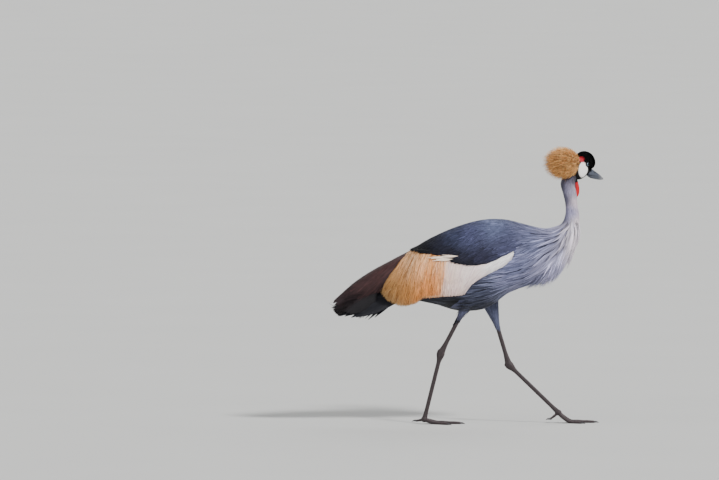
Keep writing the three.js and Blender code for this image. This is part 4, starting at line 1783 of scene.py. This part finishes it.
GOLD_TINT = Tint(
    (
        (-76, 450, (255, 222, 198)), (-76, 520, (255, 226, 206)), (-86, 412, (255, 222, 206)),
        (-92, 475, (255, 182, 116)), (-106, 462, (255, 162, 78)), (-102, 438, (255, 168, 90)),
        (-122, 478, (250, 160, 78)), (-112, 408, (252, 212, 190)), (-140, 403, (236, 186, 142)),
        (-128, 440, (242, 158, 78)), (-150, 445, (226, 146, 68)), (-185, 450, (198, 136, 68)),
        (-220, 470, (166, 120, 68)), (-250, 430, (168, 132, 86)), (-170, 388, (200, 166, 116)),
        (-230, 388, (190, 158, 110)), (-120, 528, (248, 208, 166)), (-150, 532, (240, 198, 152)),
    ),
    vary=0.17, streak=(0.58, 0.48, 0.38), share=0.22,
)
CHESTNUT_TINT = Tint(
    (
        (-230, 500, (68, 44, 44)), (-300, 440, (62, 42, 43)), (-380, 385, (44, 28, 31)),
        (-335, 362, (13, 11, 17)), (-370, 362, (18, 13, 18)), (-402, 350, (12, 10, 14)),
    ),
    vary=0.22, streak=(1.9, 1.7, 1.6), share=0.18,
)
BLACK_TINT = Tint(
    (
        (-300, 360, (13, 14, 22)), (-250, 390, (17, 18, 27)),
    ),
    vary=0.12, streak=(1.6, 1.6, 1.7), share=0.15,
)
HEAD_TINT = Tint(((0, 0, (12, 12, 16)),), vary=0.12)
VELVET_TINT = Tint(((20, 40, (9, 9, 9)),), vary=0.15, streak=(1.8, 1.7, 1.6), share=0.1)
WING_ALL = (*WHITE[:8], (-139, 540), (-176, 545), *GOLD_EDGE[::-1][1:], *WING_EDGE[::-1])
HANGING = ((355, 575), (330, 520), (300, 470), (262, 442), (240, 438), (230, 464), (250, 500), (290, 560))


CREST_TINT = Tint(
    ((-60, 40, (255, 204, 134)), (-100, 10, (246, 192, 122))),
    vary=0.22, streak=(0.5, 0.42, 0.36), share=0.18,
)

# Zones of small feathers: round the thighs, at the back and in front of the head, and on the forehead.
THIGHS = ((-200, 250), (-200, 405), (200, 405), (200, 250))
NAPE = ((-50, 45), (-6, 45), (-6, 20), (-18, 0), (-14, -24), (30, -20), (30, -50), (-50, -50))
LORES = ((-14, 45), (-6, 20), (-18, 0), (-14, -24), (30, -20), (46, -24), (46, 20), (30, 40))
FOREHEAD = (
    (-12, 28), (-8, 52), (17, 62), (40, 58), (60, 44), (66, 16), (56, -6), (40, -8), (30, -2),
    (24, 8), (4, 24),
)

# White strands over the shoulder's edge: x, z and how many start there.
STREAMERS = ((-40.0, 528.0, 8), (-58.0, 516.0, 8), (-72.0, 525.0, 14))


@dataclass
class Crest:
    """A ball of stiff golden bristles that spread from the back of the crown."""

    drawn: int = 14000
    most: int = 8400
    root: Place = (-25.0, 0.0, 24.0)
    root_spread: Place = (5.0, 10.0, 9.0)
    stretch: Place = (1.07, 1.0, 1.03)
    bulge: float = 9.0
    curl: float = 2.4
    sink: float = 3.0

    def grow(self, coat: Coat) -> None:
        """Adds the bristles to a coat.

        Args:
            coat: the piece they belong to.
        """
        random = coat.random
        way = unit(random.standard_normal((self.drawn, 3)))
        ahead = way @ unit(np.array([0.95, 0.0, -0.1]))
        chance = np.where(ahead > 0.0, 1.0, 0.5) * (ahead < 0.82)
        way = way[random.random(len(way)) < chance][:self.most]
        count = len(way)
        reach = random.uniform(0.55, 1.16, (count, 1)) ** 0.5
        tips = CREST_AT + CREST_RADII * self.stretch * way * reach
        tips[:, 2] -= self.sink * smoothstep(0.0, 0.8, -way[:, 2])
        roots = np.array(self.root) + random.uniform(-1, 1, (count, 3)) * self.root_spread
        t = np.linspace(0, 1, 9)[None, :, None]
        bulge = unit(way + [0.0, 0.0, 0.1])[:, None] * self.bulge * np.sin(np.pi * t**0.8)
        sideways = random.standard_normal((count, 1, 3)) * self.curl
        curl = sideways * np.sin(t * 11.0 + random.uniform(0, 6, (count, 1, 1))) * t
        bow = bulge * random.uniform(0.3, 1.2, (count, 1, 1))
        middles = roots[:, None] + (tips - roots)[:, None] * t + bow + curl
        ups = unit(random.standard_normal((count, 1, 3)) + way[:, None])
        ups = np.broadcast_to(ups, middles.shape).copy()
        width = random.uniform(0.7, 1.2, count)
        coat.add(middles, ups, width, Profile.HAIR, CREST_TINT(tips), soft=0.5, columns=2)


@dataclass
class Plumage:
    """All feathers of the bird, piece by piece."""

    body: Hide
    inner: Hide
    head: HeadHide
    count: int = 0

    def coat(self, name: str, unwrap: Unwrap = body_unwrap) -> Coat:
        """An empty coat with random numbers of its own."""
        self.count += 1
        return Coat(name, np.random.default_rng(SEED + self.count), unwrap)

    @staticmethod
    def off_thighs(points: Array, _: Array) -> Array:
        """Which places aren't on the thighs."""
        return ~(LEGS[0].on_thigh(points) | LEGS[1].on_thigh(points))

    @staticmethod
    def beyond(side: Side, least: float) -> Callable[[Array, Array], Array]:
        """A test for places that lie out past a distance on one side."""
        return lambda points, _: points[:, 1] * side.value > least

    def neck(self) -> None:
        """Short narrow feathers, longer and looser towards the breast."""
        coat = self.coat("neck_feathers")
        Tract(
            NECK_ZONE, spacing=3.1, length=(15, 22), width=3.4, lift=(0.2, 2.6),
            steps=4, swing=6, trim=False,
        ).grow(coat, self.inner, BODY_FLOW, NECK_TINT_AND_PAINTED_LIGHT)
        finish = PlumeFinish("neck_plumage", rim=0.12, vary=0.16, root=0.3)
        coat.build(finish, "plumage_grey", ["neck_lower", "neck_upper"])

    def breast(self) -> None:
        """Long plumes that fan out from the neck's root over painted shade, the lowest hanging free."""
        coat = self.coat("breast_plumes")
        # A short under-layer at a fifth of the tint: painted shade in the gaps between the plumes.
        Tract(
            BREAST, spacing=8.0, length=(40, 60), width=8.0, lift=(0.4, 3.0),
            steps=5, swing=5, trim=False, tuck=WING_ALL,
        ).grow(coat, self.inner, BODY_FLOW, replace(BREAST_TINT_AND_PAINTED_LIGHT, gain=0.2))
        Tract(
            BREAST, spacing=9.0, length=(62, 92), width=5.6, lift=(1.2, 6.0),
            steps=8, swing=4, trim=False, tuck=WING_ALL,
        ).grow(coat, self.inner, BODY_FLOW, BREAST_TINT_AND_PAINTED_LIGHT)
        Tract(
            HANGING, spacing=7.5, length=(52, 84), width=5.2, lift=(2.0, 9.0),
            steps=10, swing=5, trim=False, free=0.35, droop=0.07,
        ).grow(coat, self.inner, HANG_FLOW, BREAST_TINT_AND_PAINTED_LIGHT)
        finish = PlumeFinish("breast_plumage", rim=0.45, root=0.55, vary=0.25)
        coat.build(finish, "plumage_grey", ["trunk"])

    def belly(self) -> None:
        """Flank and belly plumes that run back under the wing."""
        coat = self.coat("belly_feathers")
        # A short under-layer at a quarter of the tint: painted shade in the gaps between the plumes.
        Tract(
            BELLY, spacing=8.0, length=(50, 70), width=9.0, lift=(0.4, 3.0),
            steps=6, swing=6, trim=False, keep=self.off_thighs, tuck=WING_ALL,
        ).grow(coat, self.inner, BODY_FLOW, replace(BELLY_TINT_AND_PAINTED_SHADE, gain=0.25))
        Tract(
            BELLY, spacing=9.0, length=(70, 100), width=5.4, lift=(1.0, 6.0),
            steps=8, swing=5, trim=False, keep=self.off_thighs, tuck=WING_ALL,
        ).grow(coat, self.inner, BODY_FLOW, BELLY_TINT_AND_PAINTED_SHADE)
        finish = PlumeFinish("belly_plumage", rim=0.45, root=0.6, vary=0.25)
        coat.build(finish, "plumage_slate", ["trunk"])

    def thighs(self) -> None:
        """Small feathers down to the bare shank."""
        coat = self.coat("thigh_feathers")
        for leg in LEGS:
            way = unit(np.subtract(leg.ankle, leg.knee))
            Tract(
                THIGHS, spacing=4.2, length=(20, 30), width=5.0, lift=(0.2, 2.4),
                steps=4, swing=7, trim=False, keep=lambda points, _, leg=leg: leg.on_thigh(points),
            ).grow(coat, self.inner, lambda points, way=way: np.broadcast_to(way, points.shape), THIGH_TINT)
        finish = PlumeFinish("thigh_plumage", rim=0.3, root=0.45, vary=0.25)
        coat.build(finish, "plumage_slate", ["thigh_right", "thigh_left"])

    def mantle(self) -> None:
        """Broad back and shoulder feathers that lie over the wings' upper edge."""
        coat = self.coat("mantle_feathers")
        Tract(
            MANTLE, spacing=6.0, length=(50, 74), width=9.5, lift=(0.6, 6.0), profile=Profile.OVATE,
            steps=7, swing=4.5, over=9,
        ).grow(coat, self.body, BODY_FLOW, SLATE_TINT_AND_PAINTED_LIGHT)
        finish = PlumeFinish("mantle_plumage", rim=0.18, root=0.4, vary=0.2, sheen=0.05, shine=0.18)
        coat.build(finish, "plumage_slate", ["trunk"])

    def coverts(self) -> None:
        """The wings' white coverts, long and lance-shaped."""
        for side in Side:
            coat = self.coat(f"coverts_{side.word}")
            Tract(
                WHITE, spacing=4.6, length=(44, 66), width=6.4, lift=(0.6, 3.6),
                steps=7, swing=3.5, over=5, keep=self.beyond(side, 8), overhang=-0.25,
            ).grow(coat, self.body, WING_FLOW, WHITE_TINT)
            self.streamers(coat, side)
            finish = PlumeFinish(coat.name, rim=0.04, root=0.12, vary=0.1)
            coat.build(finish, "plumage_white", [f"wing_{side.word}_coverts"])

    def streamers(self, coat: Coat, side: Side) -> None:
        """Adds the white strands that show through the lower edge of the dark shoulder feathers.

        Args:
            coat: the piece they belong to.
            side: which wing.
        """

        def back(points: Array) -> Array:
            """The way they point."""
            return np.broadcast_to(np.array([-1.0, 0.0, -0.03]), points.shape)

        random = coat.random
        starts = np.array([(x, 95.0, z) for x, z, _ in STREAMERS])
        roots = np.repeat(starts, [strands for _, _, strands in STREAMERS], axis=0)
        count = len(roots)
        roots = (roots + random.uniform(-1, 1, (count, 3)) * [8, 0, 2.0]) * [1, side.value, 1]
        swing = np.radians(2.5) * random.standard_normal(count)
        middles, ups = self.body.lay(roots, back, random.uniform(32, 54, count), 8, (6.0, 6.8), swing=swing)
        pale = WHITE_TINT(np.tile([60.0, 0.0, 510.0], (count, 1))) * [1.0, 0.88, 0.72]
        coat.add(middles, ups, random.uniform(2.0, 3.2, count), Profile.WEDGE, pale, soft=0.6)

    def gold(self) -> None:
        """The wings' golden plumes: long loose strands with ragged ends."""
        for side in Side:
            coat = self.coat(f"golden_plumes_{side.word}")
            Tract(
                GOLD, spacing=4.4, length=(80, 130), width=4.8, lift=(1.0, 4.0),
                steps=9, columns=2, swing=5, over=5, keep=self.beyond(side, 4), overhang=-0.25,
            ).grow(coat, self.body, WING_FLOW, GOLD_TINT)
            Tract(
                GOLD, spacing=3.3, length=(70, 150), width=1.8, lift=(2.0, 8.0), profile=Profile.HAIR,
                steps=9, columns=2, swing=7, over=12, keep=self.beyond(side, 4), overhang=-0.25,
            ).grow(coat, self.body, WING_FLOW, GOLD_TINT)
            finish = PlumeFinish(coat.name, rim=0.1, root=0.25, vary=0.3, barbs=90)
            coat.build(finish, "plumage_gold", [f"wing_{side.word}_plumes"])

    def secondaries(self) -> None:
        """Chestnut secondaries under a loose fringe."""
        roots = ((-270, -12, 470), (-290, -30, 385))
        tips = ((-419, -7, 381), (-411, -11, 364), (-398, -16, 350), (-366, -27, 343))
        for side in Side:
            coat = self.coat(f"secondaries_{side.word}")
            fan = Fan(12, roots, tips, width=25, lean=(64, 76))
            fan.grow(coat, -float(side.value), CHESTNUT_TINT.even)
            Tract(
                SECONDARY, spacing=7.0, length=(60, 100), width=10, lift=(0.5, 3.5),
                steps=8, swing=4, over=8, keep=self.beyond(side, -2), overhang=-0.25,
            ).grow(coat, self.body, BODY_FLOW, CHESTNUT_TINT)
            Tract(
                SECONDARY, spacing=3.8, length=(60, 120), width=2.0, lift=(1.0, 6.0), profile=Profile.HAIR,
                steps=8, columns=2, swing=8, over=6, keep=self.beyond(side, -2), overhang=-0.25,
            ).grow(coat, self.body, BODY_FLOW, CHESTNUT_TINT)
            finish = PlumeFinish(coat.name, rim=0.15, root=0.3, vary=0.35, barbs=190)
            coat.build(finish, "plumage_chestnut", [f"wing_{side.word}_secondaries"])

    def primaries(self) -> None:
        """Black primaries below the secondaries, and the black under edge of the fold."""
        roots = ((-205, -24, 420), (-205, -44, 396))
        tips = ((-413, -9, 362), (-396, -14, 337), (-372, -24, 331), (-334, -36, 333))
        for side in Side:
            coat = self.coat(f"primaries_{side.word}")
            fan = Fan(9, roots, tips, width=30, lean=(50, 56))
            fan.grow(coat, -float(side.value), BLACK_TINT.even)
            Tract(
                UNDERWING, spacing=7.0, length=(50, 80), width=12, lift=(0.5, 3.0),
                steps=6, swing=4, over=4, keep=self.beyond(side, -2),
            ).grow(coat, self.body, BODY_FLOW, BLACK_TINT)
            finish = PlumeFinish(coat.name, rim=0.2, root=0.2, vary=0.2, rough=0.5, sheen=0.03, barbs=190)
            coat.build(finish, "plumage_black", [f"wing_{side.word}_primaries"])

    def tail(self) -> None:
        """Black tail feathers, spread a little."""
        coat = self.coat("tail_feathers")
        tips = ((-300, -44, 333), (-340, -20, 324), (-340, 20, 324), (-300, 44, 333))
        fan = Fan(12, ((-190, -24, 418), (-190, 24, 418)), tips, width=34, lean=(12, -12))
        fan.grow(coat, 1.0, BLACK_TINT.even)
        finish = PlumeFinish("tail_plumage", rim=0.2, root=0.2, vary=0.2, rough=0.5, sheen=0.03, barbs=190)
        coat.build(finish, "plumage_black", ["tail"])

    def face(self) -> None:
        """Short black feathers of nape, chin and lores, smallest round the bare skin."""
        coat = self.coat("head_feathers", ball_unwrap(np.array([0.0, 0.0, 0.0])))
        Tract(
            NAPE, spacing=1.9, length=(7, 11), width=2.0, lift=(0.1, 1.6),
            steps=3, columns=2, swing=8, trim=False, keep=feathered,
        ).grow(coat, self.head, HEAD_FLOW, HEAD_TINT)
        Tract(
            LORES, spacing=1.3, length=(2.6, 4.0), width=1.1, lift=(0.0, 0.7),
            steps=2, columns=2, swing=8, trim=False, keep=feathered,
        ).grow(coat, self.head, HEAD_FLOW, HEAD_TINT)
        self.turn(coat)
        finish = PlumeFinish("head_plumage", root=0.2, vary=0.3, sheen=0.03, shine=0.2)
        coat.build(finish, "velvet", ["head"])

    def cap(self) -> None:
        """The velvet forehead: dense short tufts that stand up."""
        coat = self.coat("velvet_cap", ball_unwrap(np.array([26.0, 0.0, 24.0])))
        Tract(
            FOREHEAD, spacing=1.25, length=(4.6, 6.2), width=1.5, lift=(0.0, 4.0), profile=Profile.VANE,
            steps=3, columns=2, swing=16, trim=False, keep=feathered,
        ).grow(coat, self.head, HEAD_FLOW, VELVET_TINT)
        self.turn(coat)
        finish = PlumeFinish("forehead_velvet", root=0.5, vary=0.3, sheen=0.05, rough=0.9, shine=0.1)
        coat.build(finish, "velvet", ["forehead_cap"])

    def crest(self) -> None:
        """The ball of golden bristles."""
        coat = self.coat("crest_bristles", ball_unwrap(CREST_AT))
        Crest().grow(coat)
        self.turn(coat)
        # The bristles' roots deep in the ball are darkened as painted shade inside the crest.
        coat.build(PlumeFinish("crest_gold", root=0.7, vary=0.3, barbs=14), "plumage_gold", ["crest"])

    @staticmethod
    def turn(coat: Coat) -> None:
        """Moves a coat of the head into the bird's frame.

        Args:
            coat: the piece's feathers.
        """
        for part in coat.parts:
            part["verts"] = turned(part["verts"]) + HEAD_AT
            part["normals"] = turned(part["normals"])

    def build(self) -> None:
        """Builds every piece, each with the random numbers of its turn."""
        steps = (
            self.neck, self.breast, self.belly, self.thighs, self.mantle, self.coverts, self.gold,
            self.secondaries, self.primaries, self.tail, self.face, self.cap, self.crest,
        )
        for step in steps:
            step()


@dataclass
class Studio:
    """Pale floor, soft light and the camera of the photograph."""

    aim: Place = (-0.341, 0.0, 0.570)
    elevation: float = 3.0
    lens: float = 500.0
    sensor: float = 36.0
    width_seen: float = 2.229
    reach: float = 120000.0
    air: tuple[float, float, float, float] = (0.95, 0.97, 1.0, 1.0)
    air_strength: float = 0.42

    def suns(self) -> tuple[tuple[str, tuple[int, int, int], float, float], ...]:
        """The lights: name, turn in degrees, strength and the width of their disc in degrees."""
        return ("key", (50, 0, 42), 3.7, 10), ("fill", (60, 0, -50), 0.7, 60), ("rim", (50, 0, 160), 0.9, 40)

    def floor(self) -> None:
        """Lays a wide plain floor."""
        corners = np.array([[-1, -1, 0], [1, -1, 0], [1, 1, 0], [-1, 1, 0]], float) * self.reach
        piece = mesh_object("floor", corners, [[0, 1, 2, 3]])
        piece.data.materials.append(FloorFinish().material())

    def lights(self) -> None:
        """Sets a soft key from the front right, a fill and a rim, in an even pale room."""
        world = bpy.data.worlds.new("room")
        world.use_nodes = True
        background = world.node_tree.nodes["Background"]
        background.inputs[0].default_value = self.air
        background.inputs[1].default_value = self.air_strength
        bpy.context.scene.world = world
        for name, turn, strength, spread in self.suns():
            light = bpy.data.lights.new(name, "SUN")
            light.energy = strength
            light.angle = math.radians(spread)
            lamp = bpy.data.objects.new(name, light)
            lamp.rotation_euler = [math.radians(a) for a in turn]
            bpy.context.scene.collection.objects.link(lamp)

    def camera(self) -> None:
        """Sets the camera, level with the bird's back and far off."""
        data = bpy.data.cameras.new("camera")
        data.sensor_width = self.sensor
        data.lens = self.lens
        data.clip_end = 400.0
        away = self.width_seen * self.lens / self.sensor
        tilt = math.radians(self.elevation)
        camera = bpy.data.objects.new("camera", data)
        camera.location = (self.aim[0], -away * math.cos(tilt), self.aim[2] + away * math.sin(tilt))
        camera.rotation_euler = (math.radians(90) - tilt, 0.0, 0.0)
        bpy.context.scene.collection.objects.link(camera)
        bpy.context.scene.camera = camera


def body_hides() -> tuple[Hide, Hide]:
    """Fuses the skin of body, neck and thighs, drawn in by the depth of the feathers.

    Returns:
        The hide with the wings and the one without them.
    """
    inner = [form(TRUNK, 90, 72, -6.0), form(NECK, 70, 48, -3.2)] + [leg.thigh_shell(-2.2) for leg in LEGS]
    wings = [form(FOLD, 60, 40, -5.0)] + [wing_plate(side, -2.5) for side in Side]
    return Hide(inner + wings, 3.0, 4), Hide(inner, 3.6, 3)


def main() -> None:
    """Builds the crane in its studio."""
    logging.basicConfig(level=logging.INFO)
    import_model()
    body, inner = body_hides()
    head = HeadHide()
    LOG.info("hides: %d and %d faces", len(body.faces), len(head.faces))
    tracts = ((MANTLE, SLATE_TINT_AND_PAINTED_LIGHT), (GOLD, GOLD_TINT), (WHITE, WHITE_TINT), (SECONDARY, CHESTNUT_TINT),
              (UNDERWING, BLACK_TINT), (NECK_ZONE, NECK_TINT_AND_PAINTED_LIGHT), (BREAST, BREAST_TINT_AND_PAINTED_LIGHT), (BELLY, BELLY_TINT_AND_PAINTED_SHADE))
    Skin(body, head, tracts).build()
    for upper in (True, False):
        Bill().half(upper)
    for side in Side:
        Eye(side).build()
    Claws().build()
    Plumage(body, inner, head).build()
    studio = Studio()
    studio.floor()
    studio.lights()
    studio.camera()


if __name__ == "__main__":
    main()
